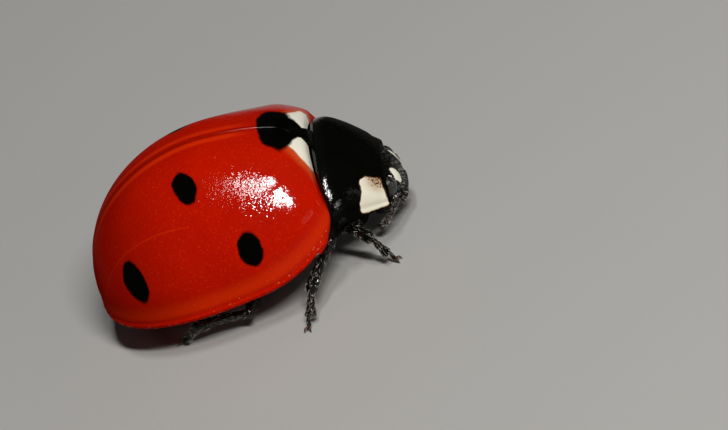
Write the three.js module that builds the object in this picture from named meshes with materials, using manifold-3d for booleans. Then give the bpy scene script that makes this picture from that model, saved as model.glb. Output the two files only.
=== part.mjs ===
// A seven-spot ladybird at life size, standing still with its wing cases closed.
// Millimetres, +Z up. The beetle faces -Y and its right side is -X.
//
// Inside this file the body is drawn in its own frame: x = 0 is the plane of symmetry, y = 0 the
// front of the wing cases and z = 0 the plane of their lower edge. At the end the whole beetle is
// moved so that the origin is the bottom centre of its bounding box, on the surface it stands on.

import * as THREE from "three";
import { mergeVertices } from "three/addons/utils/BufferGeometryUtils.js";
import Module from "manifold-3d";

const { lerp, clamp } = THREE.MathUtils;

// ---------------------------------------------------------------- driving dimensions

const GAP = 0.03; // clearance between neighbouring pieces
const FLOOR_Z = -0.9; // the surface under the feet

// The two wing cases together: a dome, open in front.
const ELYTRA = {
  length: 5.9,
  frontY: 0.06,
  halfWidth: 2.75,
  widestY: 2.2,
  frontReach: 2.85, // from the widest line to where the front half of the outline would close
  height: 2.82,
  highestY: 2.7,
  frontRise: 3.05, // from the highest point to where the front of the ridge would reach the edge
  shoulderLift: 0.5, // how far the lower edge rises towards the shoulders
  liftLength: 2.07,
  squareness: 0.22, // how much fuller than an ellipse the front cross-sections are
  squareLength: 2.2,
  thickness: 0.5,
  apexHalfWidth: 0.15, // the short straight edge at the hind end
  cornerRound: 0.2, // how far the front edge draws back at its lower corners
  planPower: 2.4, // powers of the superellipse seen from above
  planRoot: 2.35,
  flankFullness: 0.3, // how much of the fullness also shows in the width
  stations: 16,
  columns: 20,
};

// The shield over the thorax, between the wing cases and the head.
const PRONOTUM = {
  hindY: 0.03,
  frontY: -1.28,
  hindHalfWidth: 1.95,
  frontHalfWidth: 1.15,
  hindCrest: 1.76,
  frontCrest: 0.63,
  crown: 0.2, // how far the crest line bulges above a straight one
  hindEdge: 0.52,
  frontEdge: -0.05,
  hindBow: 0.02,
  frontNotch: 0.13, // how far the front edge draws back towards its corners
  hindThickness: 0.36,
  frontThickness: 0.2,
  narrowing: 1.3, // power with which the width falls towards the front
  squareness: 0.11, // how much fuller than an ellipse the cross-sections are
  stations: 6,
  columns: 16,
};

// The small triangle between the bases of the wing cases. Its base lies under the shield.
const SCUTELLUM = { halfWidth: 0.5, tipY: 0.46, slope: 1.5 };

// The trunk under the shield and the wing cases.
const TRUNK = {
  bellyDepth: 0.18,
  bellyFlatness: 0.45, // power of the cosine that shapes the belly, below 1 for a flat one
  waistY: 2.05, // between thorax and abdomen
  throatY: -0.46,
  throatDepth: 0.34,
  stations: 8, // along it, under the wing cases
  runOut: 8, // power with which the depth runs out at the hind end
  columns: 12,
};

const HEAD = {
  centre: [0, -0.97, -0.05],
  radii: [0.84, 0.55, 0.65],
  flatness: [0.8, 0.9], // powers that square the outline, seen from above and in height
  clypeusCentre: [0, -1.32, -0.29],
  clypeusRadii: [0.46, 0.17, 0.17],
};

const EYE = { centre: [0.7, -1.17, 0.13], radii: [0.18, 0.23, 0.24] };
const LABRUM = { centre: [0, -1.29, -0.52], radii: [0.32, 0.12, 0.11] };
const COXA_RADII = { front: [0.3, 0.27, 0.26], middle: [0.36, 0.32, 0.26], hind: [0.5, 0.3, 0.24] };

// Paths and radii (start, middle, end) of the thin parts, on the left side where x is positive.
const ANTENNA = {
  path: [[0.7, -1.26, -0.24], [0.92, -1.14, -0.31], [1.02, -0.94, -0.42], [1.02, -0.74, -0.54]],
  radii: [0.19, 0.2, 0.23],
};
const MANDIBLE = {
  path: [[0.21, -1.0, -0.58], [0.21, -1.09, -0.62], [0.17, -1.17, -0.65]],
  radii: [0.14, 0.13, 0.1],
  ringCount: 5,
};
const PALP = {
  path: [[0.49, -0.86, -0.52], [0.52, -0.95, -0.56], [0.49, -1.03, -0.56]],
  radii: [0.11, 0.12, 0.13],
  ringCount: 5,
};
const LEG_RADII = {
  femur: [0.2, 0.27, 0.22],
  tibia: [0.21, 0.2, 0.22],
  tarsus: [0.2, 0.23, 0.18],
};

// Joints of each leg: hip, knee, ankle and toe. The toe is the centre of the foot's round tip,
// which the floor trims to a small flat.
const TOE_Z = FLOOR_Z + 0.06;
const LEGS = {
  front_right: [[-0.5, -0.22, -0.34], [-1.5, -0.02, 0.09], [-2.02, -0.58, -0.2], [-2.13, -0.82, TOE_Z]],
  front_left: [[0.5, -0.22, -0.34], [1.52, -0.12, 0.08], [2.05, -0.76, -0.24], [2.12, -1.02, TOE_Z]],
  middle_right: [[-0.72, 1.02, -0.32], [-1.85, 0.3, 0.08], [-2.85, 1.05, -0.35], [-3.42, 1.33, TOE_Z]],
  middle_left: [[0.72, 1.02, -0.32], [1.86, 0.42, 0.06], [2.85, 1.2, -0.36], [3.42, 1.49, TOE_Z]],
  hind_right: [[-0.75, 1.98, -0.34], [-2.4, 2.6, -0.5], [-2.1, 3.95, -0.5], [-1.9, 4.34, TOE_Z]],
  hind_left: [[0.75, 1.98, -0.34], [2.36, 2.72, -0.48], [2.14, 4.08, -0.5], [1.98, 4.46, TOE_Z]],
};

const LEG_LIFT = { femur: 0.03, tibia: 0.04, tarsus: -0.03 }; // how far each part arches halfway
const LIMB_SIDES = 8;
const LIMB_RINGS = 7;
const ROUND_DETAIL = { skull: 16, eye: 12, small: 8 }; // points round an ellipsoid

const MATERIALS = {
  elytra: new THREE.MeshStandardMaterial({ color: 0xc42408, roughness: 0.22, metalness: 0 }),
  shield: new THREE.MeshStandardMaterial({ color: 0x0b0a0a, roughness: 0.25, metalness: 0 }),
  trunk: new THREE.MeshStandardMaterial({ color: 0x16110f, roughness: 0.5, metalness: 0 }),
  eye: new THREE.MeshStandardMaterial({ color: 0x1c1d1a, roughness: 0.3, metalness: 0 }),
  mouth: new THREE.MeshStandardMaterial({ color: 0x2a1a12, roughness: 0.45, metalness: 0 }),
  feeler: new THREE.MeshStandardMaterial({ color: 0x5a3a20, roughness: 0.5, metalness: 0 }),
  leg: new THREE.MeshStandardMaterial({ color: 0x141011, roughness: 0.4, metalness: 0 }),
};

// ---------------------------------------------------------------- solids

const wasm = await Module();
wasm.setup();

/** A manifold solid from a closed geometry. */
function solidFrom(geometry) {
  const bare = geometry.clone();
  bare.deleteAttribute("normal");
  bare.deleteAttribute("uv");
  const merged = mergeVertices(bare, 1e-4);
  return new wasm.Manifold(
    new wasm.Mesh({
      numProp: 3,
      vertProperties: new Float32Array(merged.attributes.position.array),
      triVerts: new Uint32Array(merged.index.array),
    }),
  );
}

/** A named mesh from a manifold solid. */
function meshFrom(name, solid, material) {
  const { vertProperties, triVerts } = solid.getMesh();
  const geometry = new THREE.BufferGeometry();
  geometry.setAttribute("position", new THREE.BufferAttribute(vertProperties, 3));
  geometry.setIndex(new THREE.BufferAttribute(triVerts, 1));
  geometry.computeVertexNormals();
  const mesh = new THREE.Mesh(geometry, material.clone());
  mesh.name = name;
  return mesh;
}

const without = (solid, cutters) => cutters.reduce((rest, cutter) => rest.subtract(cutter), solid);
const unite = (solid, extras) => extras.reduce((whole, extra) => whole.add(extra), solid);

/** The points of row k and of row k + 1 joined by quads, for rows that are closed rings. */
function loft(rings) {
  const count = rings[0].length;
  const positions = rings.flat().flatMap((point) => point.toArray());
  const indices = [];
  for (let k = 0; k + 1 < rings.length; k++) {
    for (let i = 0; i < count; i++) {
      const a = k * count + i;
      const b = k * count + ((i + 1) % count);
      indices.push(a, b, b + count, a, b + count, a + count);
    }
  }
  const geometry = new THREE.BufferGeometry();
  geometry.setAttribute("position", new THREE.Float32BufferAttribute(positions, 3));
  geometry.setIndex(indices);
  return geometry;
}

/**
 * The solid between two sheets. Each sheet is a function of s from 0 to 1 along the body and of
 * t from -1 to 1 across it. Each ring runs over the outer sheet and back under the inner one, and
 * the end rings fold flat onto the line midway between the sheets.
 */
function solidBetween(outer, inner, along, across) {
  const crossing = Array.from({ length: across + 1 }, (_, i) => (2 * i) / across - 1);
  const back = [...crossing].reverse();
  const middle = (s) => (t) => outer(s, t).add(inner(s, t)).multiplyScalar(0.5);
  const ring = (s) => [...crossing.map((t) => outer(s, t)), ...back.map((t) => inner(s, t))];
  const folded = (s) => [...crossing, ...back].map(middle(s));
  const rings = [folded(0)];
  for (let k = 0; k <= along; k++) rings.push(ring(k / along));
  rings.push(folded(1));
  return solidFrom(loft(rings));
}

/**
 * A limb along a smooth curve through a path, with a round end centred on each end of it. The
 * radius is a parabola through its start, middle and end values, and follows a quarter circle
 * where the limb closes. grow makes it fatter all round.
 */
function limb({ path, radii, ringCount = LIMB_RINGS }, { side = 1, grow = 0 } = {}) {
  const curve = new THREE.CatmullRomCurve3(path.map(([x, y, z]) => new THREE.Vector3(x * side, y, z)));
  const [start, middle, end] = radii;
  const bareLength = curve.getLength();
  const length = bareLength + start + end + 2 * grow;
  const reference = curve.computeFrenetFrames(1, false).normals[0];
  const rings = [];
  for (let k = 0; k <= ringCount; k++) {
    const distance = (length * (1 - Math.cos((Math.PI * k) / ringCount))) / 2;
    const part = (distance - start - grow) / bareLength;
    const onCurve = clamp(part, 0, 1);
    const tangent = curve.getTangentAt(onCurve);
    const centre = curve.getPointAt(onCurve).addScaledVector(tangent, (part - onCurve) * bareLength);
    const across = new THREE.Vector3().crossVectors(tangent, reference).normalize();
    const upward = new THREE.Vector3().crossVectors(tangent, across);
    const rest = 1 - onCurve;
    const atEnds = start * rest * (rest - onCurve) + end * onCurve * (onCurve - rest);
    const bulk = atEnds + middle * 4 * onCurve * rest;
    const fromEnd = Math.min(1, Math.min(distance, length - distance) / (bulk + grow));
    const radius = (bulk + grow) * Math.sqrt(1 - (1 - fromEnd) ** 2);
    const corners = Array.from({ length: LIMB_SIDES }, (_, i) => (2 * Math.PI * i) / LIMB_SIDES);
    rings.push(
      corners.map((angle) =>
        centre
          .clone()
          .addScaledVector(across, Math.cos(angle) * radius)
          .addScaledVector(upward, Math.sin(angle) * radius),
      ),
    );
  }
  return solidFrom(loft(rings));
}

/** An ellipsoid whose outline is squared by the two powers, from above and in height. */
function rounded(centre, radii, { side = 1, grow = 0, flatness = [1, 1], detail }) {
  const geometry = new THREE.SphereGeometry(1, detail, Math.round(detail * 0.7));
  geometry.rotateX(Math.PI / 2);
  const positions = geometry.attributes.position;
  const power = (value, exponent) => Math.sign(value) * Math.abs(value) ** exponent;
  for (let i = 0; i < positions.count; i++) {
    const point = new THREE.Vector3().fromBufferAttribute(positions, i);
    const level = Math.hypot(point.x, point.y) || 1; // 1 at the poles, where x and y are 0 anyway
    const ring = power(level, flatness[1]);
    positions.setXYZ(
      i,
      centre[0] * side + (radii[0] + grow) * ring * power(point.x / level, flatness[0]),
      centre[1] + (radii[1] + grow) * ring * power(point.y / level, flatness[0]),
      centre[2] + (radii[2] + grow) * power(point.z, flatness[1]),
    );
  }
  return solidFrom(geometry);
}

/** A box between two corners, for cutting. */
function block(low, high) {
  const size = high.map((value, i) => value - low[i]);
  const geometry = new THREE.BoxGeometry(...size);
  geometry.translate(...low.map((value, i) => value + size[i] / 2));
  return solidFrom(geometry);
}

const FAR = 10; // beyond the beetle on every side
const between = (fromY, toY) => block([-FAR, fromY, -FAR], [FAR, toY, FAR]);

// ---------------------------------------------------------------- wing cases

/** The distance from a middle line, as a part of the reach on that side of it. */
function reachPart(y, middle, frontReach, hindReach) {
  const reach = y < middle ? frontReach : hindReach;
  return Math.min(Math.abs(y - middle) / reach, 1);
}

/** Half the width at y: a superellipse that is wider behind the shoulders than in front. */
function elytraHalfWidth(y) {
  const { length, halfWidth, widestY, frontReach, apexHalfWidth, planPower, planRoot } = ELYTRA;
  const part = reachPart(y, widestY, frontReach, length - widestY);
  return Math.max(halfWidth * (1 - part ** planPower) ** (1 / planRoot), apexHalfWidth);
}

/** The height of the ridge above the lower edge at y: two quarter ellipses. */
function elytraRidge(y) {
  const { length, height, highestY, frontRise } = ELYTRA;
  const part = reachPart(y, highestY, frontRise, length - highestY);
  return height * Math.sqrt(1 - part ** 2);
}

/** The lower edge, flat behind and rising to the shoulders in a parabola. */
function elytraEdge(y) {
  return ELYTRA.shoulderLift * clamp(1 - y / ELYTRA.liftLength, 0, 1) ** 2;
}

/**
 * The dome moved in by a depth: a superelliptic arch at each y, with the stations closer
 * together towards the apex.
 */
function elytraSheet(depth) {
  const shrink = (size) => (size - depth) / size;
  return (s, t) => {
    const frontY = ELYTRA.frontY - PRONOTUM.hindBow * t ** 2 + ELYTRA.cornerRound * t ** 6;
    const along = 1 - (1 - s) ** 2;
    const y = lerp(frontY, ELYTRA.length, along);
    const fullness = ELYTRA.squareness * clamp(1 - y / ELYTRA.squareLength, 0, 1) ** 2;
    const angle = (Math.abs(t) * Math.PI) / 2;
    const out = elytraHalfWidth(y) * Math.sin(angle) ** (1 - ELYTRA.flankFullness * fullness);
    const up = elytraRidge(y) * Math.max(Math.cos(angle), 0) ** (1 - fullness);
    return new THREE.Vector3(
      Math.sign(t) * out * shrink(ELYTRA.halfWidth),
      lerp(frontY, ELYTRA.length - depth, along),
      elytraEdge(y) + up * shrink(ELYTRA.height),
    );
  };
}

/** The scutellum's triangle seen from above, grown on every side, as a tall prism for cutting. */
function scutellumPrism(grow) {
  const { halfWidth, tipY, slope } = SCUTELLUM;
  const outline = new THREE.Shape([
    new THREE.Vector2(-halfWidth - grow * slope, tipY - halfWidth * slope),
    new THREE.Vector2(halfWidth + grow * slope, tipY - halfWidth * slope),
    new THREE.Vector2(0, tipY + grow * slope),
  ]);
  return solidFrom(new THREE.ExtrudeGeometry(outline, { depth: FAR, bevelEnabled: false }));
}

const [outerDome, innerDome] = [0, ELYTRA.thickness].map(elytraSheet);
const wingCases = solidBetween(outerDome, innerDome, ELYTRA.stations, ELYTRA.columns);
const scutellum = wingCases.intersect(scutellumPrism(0));

/** One wing case: the dome on one side of a narrow slit, less the scutellum's notch. */
function elytron(side) {
  const innerX = (side * GAP) / 2;
  const half = block([Math.min(innerX, side * FAR), -FAR, -FAR], [Math.max(innerX, side * FAR), FAR, FAR]);
  return wingCases.intersect(half).subtract(scutellumPrism(GAP));
}

// ---------------------------------------------------------------- shield and trunk

/**
 * The shield moved in by a depth that may change along it, and grown by a margin at its edges.
 * forward runs from 0 at the hind edge to 1 at the front one, against the sheet's own direction.
 */
function pronotumSheet(depthAt, margin = 0) {
  return (s, t) => {
    const forward = lerp(1 + margin, -margin, s);
    const angle = (t * Math.PI) / 2;
    const hindY = PRONOTUM.hindY - PRONOTUM.hindBow * t ** 2;
    const frontY = PRONOTUM.frontY + PRONOTUM.frontNotch * t ** 2;
    const narrowing = Math.max(forward, 0) ** PRONOTUM.narrowing;
    const depth = depthAt(forward);
    const halfWidth = lerp(PRONOTUM.hindHalfWidth, PRONOTUM.frontHalfWidth, narrowing) - depth;
    const bulge = PRONOTUM.crown * 4 * forward * (1 - forward);
    const crest = lerp(PRONOTUM.hindCrest, PRONOTUM.frontCrest, forward) + bulge - depth;
    const edge = lerp(PRONOTUM.hindEdge, PRONOTUM.frontEdge, forward) - margin;
    const full = (value) => Math.sign(value) * Math.abs(value) ** (1 - PRONOTUM.squareness);
    return new THREE.Vector3(
      halfWidth * full(Math.sin(angle)),
      lerp(hindY, frontY, forward),
      edge + (crest - edge) * full(Math.max(Math.cos(angle), 0)),
    );
  };
}

const shieldThickness = (forward) => lerp(PRONOTUM.hindThickness, PRONOTUM.frontThickness, forward);

/** The shield as a plate, or grown all round to cut what tucks in under it. */
function pronotum(grow = 0) {
  const outer = pronotumSheet(() => -grow, grow);
  const inner = pronotumSheet((forward) => shieldThickness(forward) + grow, grow);
  return solidBetween(outer, inner, PRONOTUM.stations, PRONOTUM.columns);
}

/**
 * The trunk under a sheet: its belly hangs from the same edge as an arch, flat in the middle,
 * that runs out at the hind end.
 */
function trunkUnder(sheet, bellyZ, along) {
  const belly = (s, t) => {
    const top = sheet(s, t);
    const edgeZ = sheet(s, 1).z;
    const droop = Math.max(Math.cos((t * Math.PI) / 2), 0) ** TRUNK.bellyFlatness;
    return new THREE.Vector3(top.x, top.y, lerp(edgeZ, bellyZ * (1 - s ** TRUNK.runOut), droop));
  };
  return solidBetween(sheet, belly, along, TRUNK.columns);
}

/** Both coxae of a pair of legs, the short joints that the legs turn in. */
function coxae(pair, grow = 0) {
  const [x, y, z] = LEGS[pair + "_left"][0];
  const radii = COXA_RADII[pair];
  return [-1, 1].map((side) => rounded([x, y, z], radii, { side, grow, detail: ROUND_DETAIL.small }));
}

// ---------------------------------------------------------------- legs

/** The three parts of a leg, each grown on every side if asked. */
function legParts([hip, knee, ankle, toe], grow = 0) {
  const part = (name, start, end) => {
    const halfway = start.map((value, i) => (value + end[i]) / 2);
    halfway[2] += LEG_LIFT[name];
    return limb({ path: [start, halfway, end], radii: LEG_RADII[name] }, { grow });
  };
  return {
    femur: part("femur", hip, knee),
    tibia: part("tibia", knee, ankle),
    tarsus: part("tarsus", ankle, toe),
  };
}

const underFloor = block([-FAR, -FAR, -FAR], [FAR, FAR, FLOOR_Z]);
const legNodes = [];
const femurRoom = [];
for (const [name, joints] of Object.entries(LEGS)) {
  const part = legParts(joints);
  const room = legParts(joints, GAP);
  femurRoom.push(room.femur);
  legNodes.push(
    meshFrom(`leg_${name}_femur`, part.femur, MATERIALS.leg),
    meshFrom(`leg_${name}_tibia`, without(part.tibia, [room.femur]), MATERIALS.leg),
    meshFrom(`leg_${name}_tarsus`, without(part.tarsus, [room.tibia, underFloor]), MATERIALS.leg),
  );
}

// ---------------------------------------------------------------- head

const eye = (side, grow = 0) => rounded(EYE.centre, EYE.radii, { side, grow, detail: ROUND_DETAIL.eye });
const antenna = (side, grow = 0) => limb(ANTENNA, { side, grow });
const mandible = (side, grow = 0) => limb(MANDIBLE, { side, grow });
const palp = (side, grow = 0) => limb(PALP, { side, grow });
const labrum = (grow = 0) => rounded(LABRUM.centre, LABRUM.radii, { grow, detail: ROUND_DETAIL.small });

const SIDES = { right: -1, left: 1 };
const bothSides = (make, grow) => Object.values(SIDES).map((side) => make(side, grow));

const headRoom = [eye, antenna, mandible, palp].flatMap((make) => bothSides(make, GAP));
const skull = rounded(HEAD.centre, HEAD.radii, { flatness: HEAD.flatness, detail: ROUND_DETAIL.skull });
const clypeus = rounded(HEAD.clypeusCentre, HEAD.clypeusRadii, { detail: ROUND_DETAIL.small });
const head = without(skull.add(clypeus), [
  pronotum(GAP),
  labrum(GAP),
  between(TRUNK.throatY - GAP, FAR),
  ...headRoom,
]);

// ---------------------------------------------------------------- the beetle

const shieldRoof = pronotumSheet((forward) => shieldThickness(forward) + GAP);
const underShield = trunkUnder(shieldRoof, -TRUNK.throatDepth, PRONOTUM.stations);
const wingRoof = elytraSheet(ELYTRA.thickness + GAP);
const underWings = trunkUnder(wingRoof, -TRUNK.bellyDepth, TRUNK.stations);

const prothorax = without(
  unite(underShield.intersect(between(TRUNK.throatY, 0)), coxae("front")),
  femurRoom,
);
const thorax = without(
  unite(underWings.intersect(between(ELYTRA.frontY, TRUNK.waistY)), [...coxae("middle"), ...coxae("hind")]),
  [between(-FAR, ELYTRA.frontY), ...femurRoom],
);
const abdomen = without(underWings.intersect(between(TRUNK.waistY + GAP, FAR)), [
  ...coxae("hind", GAP),
  ...femurRoom,
]);

const body = new THREE.Group();
body.add(
  meshFrom("pronotum", pronotum(), MATERIALS.shield),
  meshFrom("scutellum", scutellum, MATERIALS.shield),
  meshFrom("head", head, MATERIALS.shield),
  meshFrom("labrum", labrum(), MATERIALS.mouth),
  meshFrom("prothorax", prothorax, MATERIALS.trunk),
  meshFrom("thorax", thorax, MATERIALS.trunk),
  meshFrom("abdomen", abdomen, MATERIALS.trunk),
  ...legNodes,
);
for (const [name, side] of Object.entries(SIDES)) {
  body.add(
    meshFrom(`elytron_${name}`, elytron(side), MATERIALS.elytra),
    meshFrom(`eye_${name}`, without(eye(side), [pronotum(GAP), antenna(side, GAP)]), MATERIALS.eye),
    meshFrom(`antenna_${name}`, antenna(side), MATERIALS.feeler),
    meshFrom(`mandible_${name}`, without(mandible(side), [labrum(GAP)]), MATERIALS.mouth),
    meshFrom(`palp_${name}`, palp(side), MATERIALS.mouth),
  );
}

// Stand it on its feet, with the origin at the bottom centre of its bounding box.
const box = new THREE.Box3().setFromObject(body);
body.position.set(0, -(box.min.y + box.max.y) / 2, -box.min.z);

const ladybird = new THREE.Group();
ladybird.add(body);

export default ladybird;
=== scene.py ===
"""A life-size seven-spot ladybird, standing still, with its stage.

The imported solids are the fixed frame. Every visible surface here is worked out with numpy, in the
beetle's own frame: millimetres, x = 0 the plane of symmetry with the left side positive, y = 0 the
front of the wing cases and z = 0 the plane of their lower edge. The beetle faces -y.
"""

import math

import bpy
import numpy as np
from mathutils import Matrix, Vector


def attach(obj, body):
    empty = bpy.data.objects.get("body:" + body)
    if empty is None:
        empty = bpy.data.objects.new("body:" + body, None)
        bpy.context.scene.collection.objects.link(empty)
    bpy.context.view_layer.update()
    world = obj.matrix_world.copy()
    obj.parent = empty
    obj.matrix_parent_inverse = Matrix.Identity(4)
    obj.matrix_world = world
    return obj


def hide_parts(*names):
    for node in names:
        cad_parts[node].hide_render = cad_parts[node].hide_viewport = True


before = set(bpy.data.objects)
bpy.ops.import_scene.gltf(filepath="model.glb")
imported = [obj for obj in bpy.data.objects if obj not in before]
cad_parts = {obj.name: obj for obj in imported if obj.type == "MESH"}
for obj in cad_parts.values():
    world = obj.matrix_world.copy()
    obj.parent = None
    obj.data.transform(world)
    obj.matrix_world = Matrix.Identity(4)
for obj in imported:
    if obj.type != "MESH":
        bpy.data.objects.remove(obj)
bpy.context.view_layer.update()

bl_info = {
    "name": "Seven-spot ladybird",
    "version": (1, 0, 0),
    "blender": (4, 5, 0),
    "location": "3D View > Sidebar > Ladybird",
    "description": "Builds the visible surfaces, coat and stage of a life-size ladybird beetle",
    "category": "Object",
}

MM = 0.001
TO_FRAME = np.array([0.0, -2.1925, 0.9])  # from the beetle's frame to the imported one, mm
FLOOR_Z = -0.9
SIDES = {"right": -1, "left": 1}
QUARTER_TURN = math.pi / 2

# ---------------------------------------------------------------- the beetle's sizes, mm

SHELL = {
    "length": 5.9,
    "front": 0.06,
    "half_width": 2.75,
    "widest": 2.2,
    "front_reach": 2.85,
    "height": 2.82,
    "highest": 2.7,
    "front_rise": 3.05,
    "shoulder_lift": 0.5,
    "lift_length": 2.07,
    "squareness": 0.22,
    "square_length": 2.2,
    "out_squareness": 0.3,
    "thickness": 0.5,
    "apex_half_width": 0.15,
    "plan_power": 2.4,
    "plan_root": 2.35,
    "bow": 0.02,
    "front_bulge": 0.05,
    "corner_radius": 0.5,
}
SCUTELLUM = {"half_width": 0.5, "tip": 0.46, "slope": 1.5, "gap": 0.012}
SHIELD = {
    "hind": 0.03,
    "front": -1.28,
    "hind_half_width": 1.95,
    "front_half_width": 1.15,
    "narrowing": 1.3,
    "hind_crest": 1.76,
    "front_crest": 0.63,
    "crown": 0.2,
    "hind_edge": 0.52,
    "front_edge": -0.05,
    "front_notch": 0.13,
    "hind_thickness": 0.36,
    "front_thickness": 0.2,
    "squareness": 0.11,
}
HEAD = {"centre": (0.0, -0.97, -0.05), "radii": (0.84, 0.55, 0.65), "flat_plan": 0.8, "flat_rise": 0.9}
EYE = {"centre": (0.7, -1.17, 0.13), "radii": (0.18, 0.23, 0.24)}
LABRUM = {"centre": (0.0, -1.26, -0.49), "radii": (0.31, 0.11, 0.1)}
COXAE = {"front": (0.3, 0.27, 0.26), "middle": (0.36, 0.32, 0.26), "hind": (0.5, 0.3, 0.24)}
ANTENNA_PATH = [(0.7, -1.26, -0.24), (0.92, -1.14, -0.31), (1.02, -0.94, -0.42), (1.02, -0.74, -0.54)]
MANDIBLE_PATH = [(0.21, -1.0, -0.58), (0.21, -1.09, -0.62), (0.17, -1.17, -0.65)]
PALP_PATH = [(0.49, -0.86, -0.52), (0.52, -0.95, -0.56), (0.49, -1.03, -0.56)]
TRUNK = {"belly": 0.18, "flatness": 0.45, "waist": 2.05, "throat": -0.46, "throat_depth": 0.34}
TOE_Z = FLOOR_Z + 0.06

# Hip, knee, ankle and toe of each leg.
LEGS = {
    "front_right": [(-0.5, -0.22, -0.34), (-1.5, -0.02, 0.09), (-2.02, -0.58, -0.2), (-2.13, -0.82, TOE_Z)],
    "front_left": [(0.5, -0.22, -0.34), (1.52, -0.12, 0.08), (2.05, -0.76, -0.24), (2.12, -1.02, TOE_Z)],
    "middle_right": [(-0.72, 1.02, -0.32), (-1.85, 0.3, 0.08), (-2.85, 1.05, -0.35), (-3.42, 1.33, TOE_Z)],
    "middle_left": [(0.72, 1.02, -0.32), (1.86, 0.42, 0.06), (2.85, 1.2, -0.36), (3.42, 1.49, TOE_Z)],
    "hind_right": [(-0.75, 1.98, -0.34), (-2.4, 2.6, -0.5), (-2.1, 3.95, -0.5), (-1.9, 4.34, TOE_Z)],
    "hind_left": [(0.75, 1.98, -0.34), (2.36, 2.72, -0.48), (2.14, 4.08, -0.5), (1.98, 4.46, TOE_Z)],
}


# ---------------------------------------------------------------- small mathematics


def unit(vectors):
    """Vectors divided by their lengths."""
    return vectors / np.maximum(np.linalg.norm(vectors, axis=-1, keepdims=True), 1e-12)


def bell(value, centre, width):
    """exp of minus the square of the distance from centre, in widths."""
    return np.exp(-(((value - centre) / width) ** 2))


def bells(value, terms):
    """The sum of bells, each given by its height, centre and width."""
    return sum(height * bell(value, centre, width) for height, centre, width in terms)


def ease(value, low, high):
    """0 below low, 1 above high and 3x^2 - 2x^3 between them."""
    x = np.clip((value - low) / (high - low), 0, 1)
    return x * x * (3 - 2 * x)


def round_drop(distance, radius):
    """How far a quarter circle of that radius lies below its top, at a distance from the edge."""
    x = np.clip(1 - distance / radius, 0, 1)
    return radius * (1 - np.sqrt(1 - x * x))


def profile(q, stops):
    """A value along q that eases from each (q, value) stop to the next."""
    at, value = np.array(stops, float).T
    k = np.clip(np.searchsorted(at, q, side="right") - 1, 0, len(at) - 2)
    return value[k] + (value[k + 1] - value[k]) * ease(q, at[k], at[k + 1])


def through(path, q):
    """Points of the smooth curve through a path, q from 0 to 1: a Catmull-Rom spline whose stations
    are spaced by the lengths of the path's legs."""
    knots = np.array(path, float)
    legs = np.linalg.norm(np.diff(knots, axis=0), axis=1)
    at = np.concatenate([[0], np.cumsum(legs)]) / legs.sum()
    slopes = np.gradient(knots, at, axis=0)
    k = np.clip(np.searchsorted(at, q, side="right") - 1, 0, len(at) - 2)
    span = at[k + 1] - at[k]
    x = ((q - at[k]) / span)[:, None]
    span = span[:, None]
    rise = x * x * (3 - 2 * x)
    start_bend = x * (1 - x) ** 2 * span
    end_bend = -x * x * (1 - x) * span
    return knots[k] * (1 - rise) + knots[k + 1] * rise + slopes[k] * start_bend + slopes[k + 1] * end_bend


# ---------------------------------------------------------------- closed surfaces


def grid_quads(rows, columns, around=False):
    """The quads of a grid of points numbered row by row. around joins the last column to the first."""
    row = np.arange(rows - 1)[:, None] * columns
    column = np.arange(columns if around else columns - 1)[None, :]
    beside = (column + 1) % columns
    corners = [row + column, row + beside, row + beside + columns, row + column + columns]
    return np.stack(corners, -1).reshape(-1, 4)


def border(rows, columns):
    """The numbers of a grid's outermost points, once round."""
    index = np.arange(rows * columns).reshape(rows, columns)
    return np.concatenate([index[0, :-1], index[:-1, -1], index[-1, :0:-1], index[:0:-1, 0]])


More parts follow.
